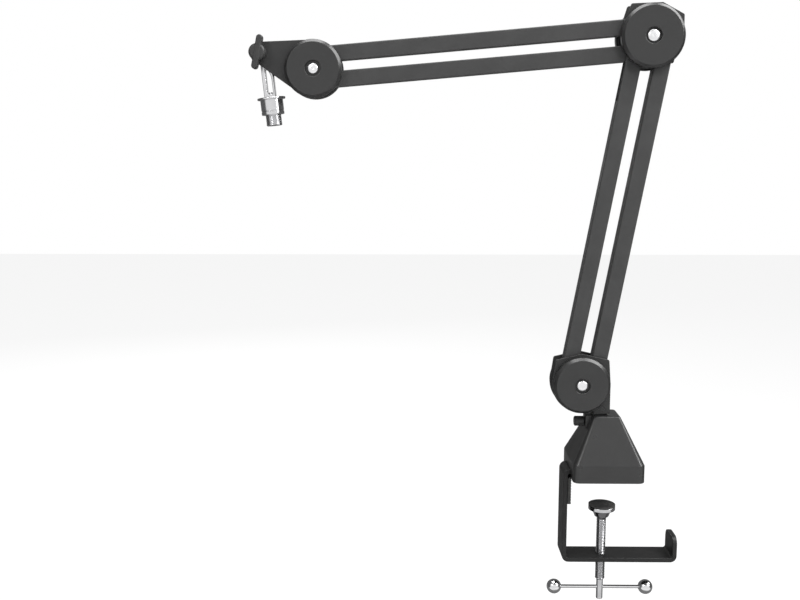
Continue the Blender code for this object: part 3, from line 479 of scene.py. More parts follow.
def surroundings_group():
    """A pale room with dim sides and a dim ceiling, by the direction in which it is seen."""
    tree, inside, outside = start_group("surroundings", [("Direction", "NodeSocketVector", (0, 0, 0))],
                                        [("Brightness", "NodeSocketFloat")])
    unit = tree.nodes.new("ShaderNodeVectorMath")
    unit.operation = "NORMALIZE"
    tree.links.new(inside.outputs["Direction"], unit.inputs[0])
    part = tree.nodes.new("ShaderNodeSeparateXYZ")
    tree.links.new(unit.outputs["Vector"], part.inputs["Vector"])
    ahead = part.outputs["Y"]
    aside = maths(tree, "ABSOLUTE", part.outputs["X"], 0.0)
    aside = maths(tree, "ADD", aside, back_shift(tree, ahead, SIDE_SHIFT))
    sides = spread(tree, aside, *SIDE_EDGE, 1.0, SHADE)
    raised = maths(tree, "ADD", part.outputs["Z"], back_shift(tree, ahead, CEILING_SHIFT))
    top = spread(tree, raised, *CEILING_EDGE, 1.0, SHADE)
    lowered = maths(tree, "SUBTRACT", part.outputs["Z"], back_shift(tree, ahead, BELOW_SHIFT))
    below = spread(tree, lowered, *BELOW_EDGE, SHADE, 1.0)
    least = maths(tree, "MINIMUM", maths(tree, "MINIMUM", sides, top), below)
    tree.links.new(least, outside.inputs["Brightness"])
    return tree


GRAIN = grain_group()
HANDLING = handling_group()
EDGE_WEAR = edge_group()
SCRATCHES = scratch_group()
SURROUNDINGS = surroundings_group()


def place_group(tree, group, **values):
    """A group in a material, with its own values."""
    item = tree.nodes.new("ShaderNodeGroup")
    item.node_tree = group
    for label, value in values.items():
        item.inputs[label.replace("_", " ")].default_value = value
    return item


def tint(tree, factor, first, second):
    """A colour between two, by a mask."""
    item = tree.nodes.new("ShaderNodeMix")
    item.data_type = "RGBA"
    tree.links.new(factor, item.inputs["Factor"])
    for label, value in (("A", first), ("B", second)):
        socket = [plug for plug in item.inputs if plug.name == label and plug.type == "RGBA"][0]
        if isinstance(value, tuple):
            socket.default_value = (*value, 1)
        else:
            tree.links.new(value, socket)
    return [plug for plug in item.outputs if plug.type == "RGBA"][0]


def bump(tree, shader, height, strength, distance):
    """Relief from a height, into the shader's normal."""
    item = tree.nodes.new("ShaderNodeBump")
    item.inputs["Strength"].default_value = strength
    item.inputs["Distance"].default_value = distance
    tree.links.new(height, item.inputs["Height"])
    tree.links.new(item.outputs["Normal"], shader.inputs["Normal"])


def start_material(name):
    """An empty material and its shader."""
    material = bpy.data.materials.new(name)
    material.use_nodes = True
    return material, material.node_tree, material.node_tree.nodes["Principled BSDF"]


def shaded(colour, share):
    """A colour made darker or paler."""
    return tuple(share * part for part in colour)


def coated(name, colour, worn, roughness, grain, swell, relief, wear, shine=0.28):
    """A black finish: grain in the relief and tone, marks in the roughness, pale edges."""
    material, tree, shader = start_material(name)
    shader.inputs["Specular IOR Level"].default_value = shine
    texture = place_group(tree, GRAIN, Grain_Scale=grain, Swell_Scale=swell)
    marks = place_group(tree, HANDLING, Patch_Scale=40.0)
    edges = place_group(tree, EDGE_WEAR, Amount=wear)
    base = tint(tree, texture.outputs["Tone"], shaded(colour, 0.86), colour)
    handled = tint(tree, marks.outputs["Mask"], base, shaded(colour, 1.10))
    finished = tint(tree, edges.outputs["Mask"], handled, worn)
    tree.links.new(finished, shader.inputs["Base Color"])
    rough = spread(tree, marks.outputs["Mask"], 0.0, 1.0, roughness, roughness - 0.07)
    tree.links.new(rough, shader.inputs["Roughness"])
    bump(tree, shader, texture.outputs["Height"], relief, 0.00006)
    return material


def plated(name, colour, roughness, fineness, relief, amount=1.0):
    """Bright metal with hairlines and faint finger marks."""
    material, tree, shader = start_material(name)
    lines = place_group(tree, SCRATCHES, Fineness=fineness, Amount=amount)
    marks = place_group(tree, HANDLING, Patch_Scale=120.0)
    dulled = tint(tree, marks.outputs["Mask"], colour, shaded(colour, 0.90))
    tree.links.new(dulled, shader.inputs["Base Color"])
    shader.inputs["Metallic"].default_value = 1.0
    hazed = maths(tree, "MULTIPLY", marks.outputs["Mask"], 0.08)
    scored = maths(tree, "MULTIPLY", lines.outputs["Mask"], 0.16)
    rough = maths(tree, "ADD", maths(tree, "ADD", hazed, scored), roughness)
    tree.links.new(rough, shader.inputs["Roughness"])
    bump(tree, shader, lines.outputs["Mask"], relief, 0.00003)
    return material


def soft_finish(name, colour, dusty, roughness, grain, relief):
    """Rubber or nylon: matt, finely grained, with pale dust in patches."""
    material, tree, shader = start_material(name)
    texture = place_group(tree, GRAIN, Grain_Scale=grain, Swell_Scale=grain / 8)
    marks = place_group(tree, HANDLING, Patch_Scale=90.0, Amount=0.7)
    tree.links.new(tint(tree, marks.outputs["Mask"], colour, dusty), shader.inputs["Base Color"])
    rough = spread(tree, texture.outputs["Tone"], 0.0, 1.0, roughness - 0.05, roughness)
    tree.links.new(rough, shader.inputs["Roughness"])
    bump(tree, shader, texture.outputs["Height"], relief, 0.0001)
    return material


BAR_COAT = coated("bar powder coat", (0.033, 0.033, 0.033), (0.20, 0.20, 0.21), roughness=0.50,
                  grain=2200.0, swell=420.0, relief=0.35, wear=0.35)
PLATE_COAT = coated("plate powder coat", (0.022, 0.022, 0.022), (0.22, 0.22, 0.23), roughness=0.50,
                    grain=2200.0, swell=420.0, relief=0.35, wear=0.45)
CLAMP_COAT = coated("clamp powder coat", (0.009, 0.009, 0.009), (0.20, 0.20, 0.21), roughness=0.48,
                    grain=1800.0, swell=350.0, relief=0.40, wear=0.55)
COVER_PLASTIC = coated("cover plastic", (0.014, 0.014, 0.014), (0.12, 0.12, 0.12), roughness=0.36,
                       grain=3200.0, swell=900.0, relief=0.25, wear=0.15, shine=0.5)
HOUSING_PLASTIC = coated("housing plastic", (0.014, 0.014, 0.014), (0.15, 0.15, 0.15), roughness=0.34,
                         grain=3000.0, swell=800.0, relief=0.25, wear=0.22, shine=0.5)
KNOB_PLASTIC = coated("knob plastic", (0.028, 0.028, 0.028), (0.12, 0.12, 0.12), roughness=0.44,
                      grain=3400.0, swell=900.0, relief=0.25, wear=0.30)
BOLT_CHROME = plated("bolt chrome", (0.80, 0.80, 0.81), roughness=0.30, fineness=1800.0, relief=0.25)
SCREW_CHROME = plated("screw chrome", (0.52, 0.52, 0.53), roughness=0.10, fineness=1500.0, relief=0.30)
BALL_CHROME = plated("ball chrome", (0.74, 0.74, 0.75), roughness=0.07, fineness=1300.0, relief=0.20,
                     amount=0.8)
YOKE_CHROME = plated("yoke chrome", (0.66, 0.66, 0.67), roughness=0.12, fineness=1600.0, relief=0.30)
ZINC = plated("zinc plate", (0.52, 0.53, 0.55), roughness=0.32, fineness=1100.0, relief=0.40)
SPRING_STEEL = plated("spring steel", (0.36, 0.36, 0.37), roughness=0.30, fineness=2500.0, relief=0.40)
RUBBER = soft_finish("pad rubber", (0.022, 0.022, 0.022), (0.050, 0.049, 0.047), roughness=0.85,
                     grain=1500.0, relief=0.5)
NYLON = soft_finish("bush nylon", (0.72, 0.70, 0.65), (0.62, 0.59, 0.53), roughness=0.48,
                    grain=1800.0, relief=0.2)


# Mesh makers


def fillet(corners, steps=6, closed=True):
    """Points of an outline whose corners are (x, y, radius)."""
    points = []
    count = len(corners)
    for index, (x, y, radius) in enumerate(corners):
        here = Vector((x, y))
        if radius == 0 or (not closed and index in (0, count - 1)):
            points.append((x, y))
            continue
        back = (Vector(corners[index - 1][:2]) - here).normalized()
        ahead = (Vector(corners[(index + 1) % count][:2]) - here).normalized()
        half = back.angle(ahead) / 2
        reach = radius / math.tan(half)
        centre = here + (back + ahead).normalized() * radius / math.sin(half)
        first = here + back * reach - centre
        last = here + ahead * reach - centre
        sweep = first.angle_signed(last)
        for step in range(steps + 1):
            angle = -sweep * step / steps
            cosine = math.cos(angle)
            sine = math.sin(angle)
            points.append((centre.x + first.x * cosine - first.y * sine,
                           centre.y + first.x * sine + first.y * cosine))
    return points


def arc(centre, radius, start, end, steps):
    """Points along an arc, angles in degrees."""
    points = []
    for step in range(steps + 1):
        angle = math.radians(start + (end - start) * step / steps)
        points.append((centre[0] + radius * math.cos(angle), centre[1] + radius * math.sin(angle)))
    return points


def ring(centre, radius, steps=MEDIUM):
    """A closed circle of points."""
    return arc(centre, radius, 0, 360, steps)[:-1]


def turned(name, profile, steps=FINE, closed=False, swell=None):
    """A profile of (radius, height) points turned about Z; swell adds to the radius."""
    work = bmesh.new()
    rings = []
    for radius, height in profile:
        if radius < 0.000001:
            rings.append([work.verts.new((0, 0, height))])
            continue
        row = []
        for step in range(steps):
            angle = 2 * math.pi * step / steps
            reach = radius + (swell(angle, height, radius) if swell else 0)
            row.append(work.verts.new((reach * math.cos(angle), reach * math.sin(angle), height)))
        rings.append(row)
    pairs = list(zip(rings, rings[1:]))
    if closed:
        pairs.append((rings[-1], rings[0]))
    for upper, lower in pairs:
        for step in range(steps):
            after = (step + 1) % steps
            loop = [upper[step % len(upper)], lower[step % len(lower)],
                    lower[after % len(lower)], upper[after % len(upper)]]
            corners = []
            for vert in loop:
                if vert not in corners:
                    corners.append(vert)
            if len(corners) > 2:
                work.faces.new(corners)
    return closed_mesh(name, work)


def closed_mesh(name, work):
    """A mesh from a bmesh, its faces turned outwards."""
    bmesh.ops.recalc_face_normals(work, faces=work.faces)
    mesh = bpy.data.meshes.new(name)
    work.to_mesh(mesh)
    work.free()
    return mesh


def baked(source):
    """The evaluated mesh of a scratch object, welded, with the object removed."""
    graph = bpy.context.evaluated_depsgraph_get()
    mesh = bpy.data.meshes.new_from_object(source.evaluated_get(graph))
    bpy.data.objects.remove(source, do_unlink=True)
    work = bmesh.new()
    work.from_mesh(mesh)
    bmesh.ops.remove_doubles(work, verts=work.verts, dist=0.000004)
    work.to_mesh(mesh)
    work.free()
    return mesh


def scratch(mesh):
    """A scratch object that holds a mesh."""
    item = bpy.data.objects.new("scratch", mesh)
    bpy.context.scene.collection.objects.link(item)
    return item


def carve(mesh, other, operation="DIFFERENCE"):
    """A mesh cut by another, or joined to it."""
    piece = scratch(mesh)
    tool = scratch(other)
    modifier = piece.modifiers.new("carve", "BOOLEAN")
    modifier.operation = operation
    modifier.solver = "EXACT"
    modifier.object = tool
    result = baked(piece)
    bpy.data.objects.remove(tool, do_unlink=True)
    return result


def moved(mesh, place=(0, 0, 0), turn=(0, 0, 0)):
    """A mesh turned, then moved."""
    matrix = Matrix.Translation(place)
    for angle, axis in zip(turn, "XYZ"):
        matrix = matrix @ Matrix.Rotation(angle, 4, axis)
    mesh.transform(matrix)
    return mesh


def sheet(name, loops, low, high, edge=PLATE_EDGE, steps=2):
    """A flat outline with holes in XZ, rounded at its edges, from depth low to high."""
    curve = bpy.data.curves.new(name, "CURVE")
    curve.dimensions = "2D"
    curve.fill_mode = "BOTH"
    curve.extrude = (high - low) / 2 - edge
    curve.bevel_depth = edge
    curve.bevel_resolution = steps
    curve.offset = -edge
    for loop in loops:
        spline = curve.splines.new("POLY")
        spline.points.add(len(loop) - 1)
        for point, (x, z) in zip(spline.points, loop):
            point.co = (x, z, 0, 1)
        spline.use_cyclic_u = True
    mesh = baked(scratch(curve))
    for vertex in mesh.vertices:
        x, z, depth = vertex.co
        vertex.co = (x, (low + high) / 2 - depth, z)
    mesh.name = name
    return mesh


def block(low, high):
    """A sharp box, for cutting."""
    sides = Vector(high) - Vector(low)
    centre = (Vector(high) + Vector(low)) / 2
    work = bmesh.new()
    bmesh.ops.create_cube(work, size=1)
    bmesh.ops.scale(work, vec=sides, verts=work.verts)
    bmesh.ops.translate(work, vec=centre, verts=work.verts)
    return closed_mesh("block", work)


def drill(radius, low, high, place=(0, 0, 0), turn=(0, 0, 0), steps=MEDIUM):
    """A round cutter along local Z."""
    mesh = turned("drill", [(0, high), (radius, high), (radius, low), (0, low)], steps)
    return moved(mesh, place, turn)


def rounded(half_x, half_y, corner, steps=6):
    """A rectangle round the origin with rounded corners."""
    return fillet([(half_x, half_y, corner), (half_x, -half_y, corner),
                   (-half_x, -half_y, corner), (-half_x, half_y, corner)], steps)


def skinned(name, work, rows):
    """A closed solid from rows of points, each joined to the next."""
    for first, second in zip(rows, rows[1:]):
        for index in range(len(first)):
            after = (index + 1) % len(first)
            work.faces.new((first[index], first[after], second[after], second[index]))
    work.faces.new(rows[0])
    work.faces.new(rows[-1])
    return closed_mesh(name, work)


def lofted(name, sections, steps=7):
    """Rounded rectangles (height, half x, half y, corner) joined into one solid."""
    work = bmesh.new()
    rows = []
    for height, half_x, half_y, corner in sections:
        rows.append([work.verts.new((x, y, height)) for x, y in rounded(half_x, half_y, corner, steps)])
    return skinned(name, work, rows)


def add_piece(name, mesh, nodes, material, place=(0, 0, 0), turn=(0, 0, 0), sharp=40):
    """A finished piece that stands for a node, or for several on one body."""
    if isinstance(nodes, str):
        nodes = (nodes,)
    piece = bpy.data.objects.new(name, mesh)
    bpy.context.scene.collection.objects.link(piece)
    mesh.materials.clear()
    mesh.materials.append(material)
    mesh.shade_smooth()
    mesh.set_sharp_from_angle(angle=math.radians(sharp))
    even = piece.modifiers.new("even shading", "WEIGHTED_NORMAL")
    even.keep_sharp = True
    even.weight = 80
    piece.location = place
    piece.rotation_euler = turn
    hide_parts(*nodes)
    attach(piece, BODY_OF[nodes[0]])
    return piece


# Hubs


def outward(node, front):
    """The place of a node's inner face, and the turn that points local Z away from the bars."""
    low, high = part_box(node)
    centre = middle(node)
    if front:
        return (centre.x, high[1], centre.z), TO_FRONT
    return (centre.x, low[1], centre.z), TO_REAR


def cover_disc(node, front):
    """A cover disc: bevelled rim, faintly dished face, recess for its bolt."""
    size = size_of(node)
    radius = size.x / 2
    top = size.y
    ceiling = top - DISC_SKIN
    floor = top - RECESS_DEPTH
    inside = radius - RIM_WALL
    cup = floor - CUP_FLOOR
    face = radius - RIM_BEVEL
    corners = [(RECESS_RADIUS, floor, 0.0006), (RECESS_RADIUS, top - DISH, 0.0007),
               (face - DISH_RING, top - DISH_SHARE * DISH, 0.003), (face, top, 0.0005),
               (radius, top - RIM_SLOPE, 0.0008), (radius, 0, 0.0003),
               (inside, 0, 0), (inside, ceiling, 0), (CUP_RADIUS, ceiling, 0), (CUP_RADIUS, cup, 0),
               (BOSS_RADIUS, cup, 0), (BOSS_RADIUS, 0, 0), (BOLT_HOLE, 0, 0), (BOLT_HOLE, floor, 0)]
    mesh = turned(node, fillet(corners, 8), FINE, closed=True)
    add_piece(node + "_cover", mesh, node, COVER_PLASTIC, *outward(node, front))


def cover_bolt(node, front):
    """A button-headed bolt with a hexagon socket."""
    size = size_of(node)
    radius = size.x / 2
    length = size.y
    under = length - BOLT_HEAD
    rim = under + BOLT_SIDE
    lip = HEX_RADIUS + HEX_LIP
    dome = [(radius, rim)]
    for step in range(DOME_STEPS - 1):
        angle = DOME_START + (math.pi / 2 - DOME_START) * step / DOME_STEPS
        reach = DOME_SHARE * radius * math.cos(angle - DOME_START)
        dome.append((max(reach, lip), rim + (length - rim) * math.sin(angle)))
    profile = [(0, length), (lip, length)] + dome[::-1]
    profile += [(radius, under), (BOLT_SHANK, under), (BOLT_SHANK, 0), (0, 0)]
    mesh = turned(node, profile, GOOD)
    bottom = length - HEX_DEPTH
    socket = turned("socket", [(0, length + CUT), (HEX_RADIUS, length + CUT), (HEX_RADIUS, bottom),
                               (0, bottom - HEX_POINT)], 6)
    add_piece(node + "_button", carve(mesh, socket), node, BOLT_CHROME, *outward(node, front))


def add_covers():
    """The six discs and their bolts."""
    for hub in ("lower", "elbow", "head"):
        for side in ("front", "rear"):
            cover_disc(hub + "_disc_" + side, side == "front")
            cover_bolt(hub + "_bolt_" + side, side == "front")


# Plates


def lower_plate():
    """Three raised corners, a round heel and a stem down the right."""
    stem_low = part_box("lower_plate_front")[0][2] - middle("lower_bolt_front").z
    stem_left = STEM_RIGHT - STEM_WIDTH
    heel = arc((0, 0), LOWER_HEEL, *LOWER_HEEL_ARC, 48)
    raised = [(x, z, PLATE_ROUND) for x, z in LOWER_CORNERS]
    outline = fillet([(STEM_RIGHT, stem_low, 0.0010), (STEM_RIGHT, 0, 0.004), *raised, (*heel[0], 0)])
    return outline + heel[1:] + [(stem_left, heel[-1][1]), (stem_left, stem_low)]


def elbow_plate():
    """Five raised corners and a round heel."""
    heel = arc((0, 0), ELBOW_HEEL, *ELBOW_HEEL_ARC, 56)
    corners = [(x, z, PLATE_ROUND) for x, z in ELBOW_CORNERS]
    return fillet(corners + [(*heel[0], 0)]) + heel[1:]


def head_plate():
    """Round about the disc, tapering to a blunt nose at the hand screw."""
    knob = middle("wing_nut") - middle("head_bolt_front")
    heel = arc((0, 0), size_of("head_disc_front").x / 2, *HEAD_HEEL_ARC, 36)
    left = knob.x - NOSE_WRAP
    nose = fillet([(*heel[-1], 0), (left, knob.z - NOSE_BELOW * NOSE_WRAP, 0.0050),
                   (left, knob.z + NOSE_ABOVE * NOSE_WRAP, 0.0040), (knob.x + NOSE_SLOPE, NOSE_TOP, 0.0010),
                   (0, HEAD_TOP, 0)])
    return list(HEAD_LUG) + heel + nose[1:] + arc((0, 0), HEAD_TOP, *HEAD_TOP_ARC, 12)


def plate_holes(hub, centre):
    """Holes for the bolt and for each pin that ends in the plate."""
    wider = {"wing_nut": WING_HOLE, "stem_rivet": size_of("stem_rivet").x / 2 + RIVET_FIT}
    holes = [ring((0, 0), BOLT_HOLE)]
    for node in PLATE_PINS[hub]:
        place = middle(node) - centre
        holes.append(ring((place.x, place.z), wider.get(node, PIN_HOLE)))
    return holes


def add_plates():
    """The front and rear plate of each hub."""
    for hub, outline in (("lower", lower_plate()), ("elbow", elbow_plate()), ("head", head_plate())):
        centre = middle(hub + "_bolt_front")
        loops = [outline] + plate_holes(hub, centre)
        for side in ("front", "rear"):
            node = hub + "_plate_" + side
            low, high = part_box(node)
            mesh = sheet(node, loops, low[1], high[1])
            add_piece(node + "_stamping", mesh, node, PLATE_COAT, (centre.x, 0, centre.z))


# Bars


def bar_shell(name, length, depth, wall, holes, slot):
    """A rectangular tube along +X with rounded edges, round ends and open mouths."""
    half = BAR_WIDTH / 2
    outline = arc((0, 0), half, 90, 270, BAR_END_STEPS) + arc((length, 0), half, -90, 90, BAR_END_STEPS)
    mesh = sheet(name, [outline], -depth / 2, depth / 2, BAR_EDGE, 3)
    inside = depth / 2 - wall
    mesh = carve(mesh, block((-BAR_WIDTH, -inside, wall - half), (length + BAR_WIDTH, inside, half - wall)))
    for low, high in ((-BAR_WIDTH, 0), (length - slot, length + BAR_WIDTH)):
        mesh = carve(mesh, block((low, -inside, -BAR_WIDTH), (high, inside, BAR_WIDTH)))
    for place, radius in ((0, holes[0]), (length, holes[1])):
        mesh = carve(mesh, drill(radius, -depth, depth, (place, 0, 0), TO_FRONT))
    return mesh


def add_bars():
    """The two lower and the two upper bars, from pivot to pivot."""
    bars = (("lower_bar_left", "lower_pin_left", "elbow_stub_left_front",
             LOWER_WALL, BUSH_HOLE, LONG_SLOT),
            ("lower_bar_right", "lower_pin_right", "elbow_stub_right_front",
             LOWER_WALL, BUSH_HOLE, SHORT_SLOT),
            ("upper_bar_top", "elbow_pin_high", "head_pin_high", UPPER_WALL, PIN_HOLE, 0),
            ("upper_bar_bottom", "elbow_pin_low", "head_pin_low", UPPER_WALL, PIN_HOLE, 0))
    for node, near, far, wall, hole, slot in bars:
        start = middle(near)
        along = middle(far) - start
        length = math.hypot(along.x, along.z)
        depth = size_of(node).y
        mesh = bar_shell(node, length, depth, wall, (hole, PIN_HOLE), slot)
        turn = (0, -math.atan2(along.z, along.x), 0)
        add_piece(node + "_tube", mesh, node, BAR_COAT, (start.x, 0, start.z), turn)


# Base


def housing_shell():
    """A pyramid with soft edges on a square skirt."""
    low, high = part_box("base_housing")
    half = high[0]
    runs = []
    for top in (TOP_HALF_X, TOP_HALF_Y):
        runs.append(fillet([(half - END_FLAT, low[2], 0), (half, low[2], SKIRT_FOOT),
                            (half, SKIRT_TOP, SKIRT_BEND), (top, high[2], TOP_BEND),
                            (top - END_FLAT, high[2], 0)], 6, closed=False))
    sections = []
    for (x, first), (y, second) in zip(*runs):
        height = (first + second) / 2
        share = min(1, max(0, (height - SKIRT_TOP) / (high[2] - SKIRT_TOP)))
        corner = SKIRT_CORNER + (TOP_CORNER - SKIRT_CORNER) * share
        sections.append((height, x, y, min(corner, MOST_CORNER * min(x, y))))
    return lofted("housing", sections)


def housing_boss():
    """The block beside the housing's top that takes the lock screw."""
    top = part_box("base_housing")[1][2] - BOSS_DROP
    reach = (SWIVEL_X - BOSS_X) / 2
    boss = lofted("boss", [(BOSS_LOW, reach, BOSS_HALF, BOSS_CORNER),
                           (top - BOSS_BREAK, reach, BOSS_HALF, BOSS_CORNER),
                           (top, reach - BOSS_BREAK, BOSS_HALF - BOSS_BREAK, BOSS_CORNER / 2)])
    return moved(boss, ((SWIVEL_X + BOSS_X) / 2, 0, 0))


def housing_mesh():
    """The housing with its boss, hollow below, bored for the post and the lock screw."""
    low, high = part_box("base_housing")
    half = high[0]
    inner = half - HOUSING_WALL
    rise = (HOUSING_CAVITY - SKIRT_TOP) / (high[2] - SKIRT_TOP)
    cavity = lofted("cavity", [(low[2] - STRAP, inner, inner, CAVITY_CORNER),
                               (SKIRT_TOP, inner, inner, CAVITY_CORNER),
                               (HOUSING_CAVITY, inner - (half - TOP_HALF_X) * rise,
                                inner - (half - TOP_HALF_Y) * rise, CAVITY_CORNER)])
    strap_low, strap_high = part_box("c_bracket")
    slot = block((-2 * half, strap_low[1] - PLAY, strap_high[2] - STRAP - PLAY),
                 (0, strap_high[1] + PLAY, strap_high[2] + PLAY))
    mesh = carve(housing_shell(), housing_boss(), "UNION")
    mesh = carve(mesh, cavity)
    mesh = carve(mesh, drill(BUSH_BORE, SKIRT_TOP, high[2] + STRAP, (SWIVEL_X, 0, 0)))
    mesh = carve(mesh, slot)
    lock = (BOSS_X, 0, middle("lock_screw").z)
    return carve(mesh, drill(LOCK_SHANK + PLAY, LOCK_HOLE_START, CUT, lock, TO_RIGHT))


def strap_sections():
    """Places along the strap's middle line, each with its half width."""
    low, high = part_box("c_bracket")
    half = high[1]
    mid = STRAP / 2
    path = fillet([(STRAP_END, high[2] - mid, 0), (low[0] + mid, high[2] - mid, STRAP_BEND),
                   (low[0] + mid, low[2] + mid, STRAP_BEND), (high[0] - mid, low[2] + mid, STRAP_BEND),
                   (high[0] - mid, 0, 0)], 10, closed=False)[:-1]
    sections = [(place, half) for place in path]
    for step in range(LIP_STEPS + 1):
        angle = math.pi / 2 * step / LIP_STEPS
        height = LIP_TOP - LIP_CORNER + LIP_CORNER * math.sin(angle)
        sections.append(((high[0] - mid, height), half - LIP_CORNER + LIP_CORNER * math.cos(angle)))
    return sections


def bracket_mesh():
    """The bent strap, swept with rounded edges along its middle line."""
    sections = strap_sections()
    work = bmesh.new()
    rows = []
    count = len(sections)
    for index, ((x, z), half) in enumerate(sections):
        before = Vector(sections[max(index - 1, 0)][0])
        after = Vector(sections[min(index + 1, count - 1)][0])
        along = (after - before).normalized()
        across = Vector((-along.y, along.x))
        row = []
        for out, side in rounded(STRAP / 2, half, STRAP_EDGE, 3):
            row.append(work.verts.new((x + across.x * out, side, z + across.y * out)))
        rows.append(row)
    mesh = skinned("bracket", work, rows)
    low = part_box("c_bracket")[0]
    mesh = carve(mesh, drill(JAW_HOLE, low[2] - STRAP, low[2] + 2 * STRAP))
    return carve(mesh, drill(STRAP_HOLE, -STRAP, 3 * STRAP, (middle("housing_screw").x, 0, 0)))


def edge_pad_mesh():
    """A rubber strip with ribs along the side that meets the desk."""
    low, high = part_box("edge_pad")
    top = high[2] + EDGE_PAD_RISE
    points = [(low[0] + EDGE_PAD_SLANT, top), (low[0], high[2] + RIB_DEPTH), (low[0], low[2])]
    pitch = (high[2] - low[2]) / RIBS
    for step in range(RIBS * RIB_STEPS):
        depth = RIB_DEPTH * (1 - abs(math.sin(math.pi * step / RIB_STEPS)))
        points.append((high[0] - depth, low[2] + pitch * step / RIB_STEPS))
    points.append((high[0] - RIB_DEPTH, top))
    return sheet("edge_pad", [points[::-1]], low[1], high[1], EDGE_PAD_EDGE)


def base_pad_mesh():
    """The flat rubber pad under the housing, with a hole for its screw."""
    low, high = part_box("base_pad")
    outline = rounded(high[0], high[0], BASE_PAD_CORNER)
    hole = ring((middle("housing_screw").x, 0), BASE_PAD_HOLE)
    return moved(sheet("base_pad", [outline, hole], low[2], high[2], BASE_PAD_EDGE), turn=TO_FRONT)


def add_base():
    """The housing, the bracket and the rubber pads."""
    add_piece("base_housing_moulding", housing_mesh(), "base_housing", HOUSING_PLASTIC, sharp=50)
    add_piece("c_bracket_strap", bracket_mesh(), "c_bracket", CLAMP_COAT, sharp=50)
    add_piece("edge_pad_rubber", edge_pad_mesh(), "edge_pad", RUBBER)
    add_piece("base_pad_rubber", base_pad_mesh(), "base_pad", RUBBER)


# Clamp screw


def thread_wave(pitch, depth, low, high, outer):
    """Swell of a thread cut into one radius between two heights, fading out at each end."""
    def swell(angle, height, radius):
        """How far the thread's surface lies inside the outer radius."""
        if abs(radius - outer) > 0.00001:
            return 0
        fade = min(1, max(0, (height - low) / pitch), max(0, (high - height) / pitch))
        phase = (height / pitch + angle / (2 * math.pi)) % 1
        notch = min(1, max(0, (abs(phase - 0.5) * 2 - THREAD_CREST) / THREAD_FLANK))
        return -depth * notch * max(0, fade)
    return swell


def thread_rows(radius, high, low, pitch, rows):
    """Points down a threaded length, a few for each turn."""
    count = round((high - low) / pitch * rows)
    return [(radius, high + (low - high) * step / count) for step in range(count + 1)]


def screw_mesh():
    """The clamp screw: ball tip, rolled thread and plain shank with its cross hole."""
    low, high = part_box("clamp_screw")
    radius = size_of("clamp_screw").x / 2
    neck_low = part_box("pressure_pad")[0][2] - NECK_DROP
    profile = [(reach, high[2] - below) for reach, below in SCREW_TIP]
    profile += [(TIP_LOW_RADIUS, neck_low + TIP_RISE), (SCREW_NECK, neck_low + NECK_RISE),
                (SCREW_NECK, neck_low)]
    profile += thread_rows(radius, THREAD_TOP, THREAD_LOW, THREAD_PITCH, THREAD_ROWS)
    profile += [(SHANK_RADIUS + out, THREAD_LOW - below) for out, below in SCREW_RUNOUT]
    profile += [(SHANK_RADIUS - back, low[2] + above) for back, above in SCREW_END]
    profile.append((0, low[2]))
    wave = thread_wave(THREAD_PITCH, THREAD_DEPTH, THREAD_LOW, THREAD_TOP, radius)
    mesh = turned("clamp_screw", profile, SCREW_FACETS, swell=wave)
    across = drill(TOMMY_HOLE, -CUT, CUT, (0, 0, middle("tommy_bar").z), TO_RIGHT)
    return carve(mesh, across)


def pad_mesh():
    """The swivelling pad: a plate over a tapered socket."""
    low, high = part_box("pressure_pad")
    radius = size_of("pressure_pad").x / 2
    plate_low = high[2] - PAD_PLATE
    lip = low[2] + SOCKET_LIP
    corners = [(0, high[2], 0), (radius, high[2], 0.0006), (radius, plate_low, 0.0008),
               (PAD_WAIST, plate_low - PAD_TAPER, 0.0015), (PAD_FOOT, low[2], 0.0008),
               (SOCKET_MOUTH, low[2], 0.0003), (SOCKET_MOUTH, lip, 0), (SOCKET, lip + SOCKET_STEP, 0),
               (SOCKET, high[2] - PLAY, 0), (0, high[2] - PLAY, 0)]
    return turned("pressure_pad", fillet(corners, 4, closed=False), FINE)


def pad_face_mesh():
    """A rubber disc with shallow rings where it meets the desk."""
    low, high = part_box("pad_face")
    radius = size_of("pad_face").x / 2
    profile = []
    steps = FACE_RINGS * RING_STEPS
    for step in range(steps + 1):
        depth = RING_DEPTH * (0.5 + 0.5 * math.cos(2 * math.pi * step / RING_STEPS))
        profile.append(((radius - FACE_EDGE) * step / steps, high[2] - depth))
    profile += [(radius, high[2] - FACE_EDGE), (radius, low[2] + FACE_EDGE / 2),
                (radius - FACE_EDGE / 2, low[2]), (0, low[2])]
    return turned("pad_face", profile, GOOD)


def ball_mesh(radius):
    """A turned ball, its mouth below, bored for the bar."""
    mouth = math.degrees(math.asin(TOMMY_HOLE / radius))
    profile = arc((0, 0), radius, 90, -90 + mouth, 40)
    profile[0] = (0, radius)
    floor = -radius + BALL_GRIP + PLAY
    return turned("ball", profile + [(TOMMY_HOLE, floor), (0, floor)], GOOD)


def tommy_bar_mesh():
    """The sliding bar along local Z, with its ends broken."""
    size = size_of("tommy_bar")
    reach = size.x / 2
    radius = size.z / 2
    corners = [(0, reach, 0), (radius, reach, 0.0005), (radius, -reach, 0.0005), (0, -reach, 0)]
    return turned("tommy_bar", fillet(corners, 4, closed=False), MEDIUM)


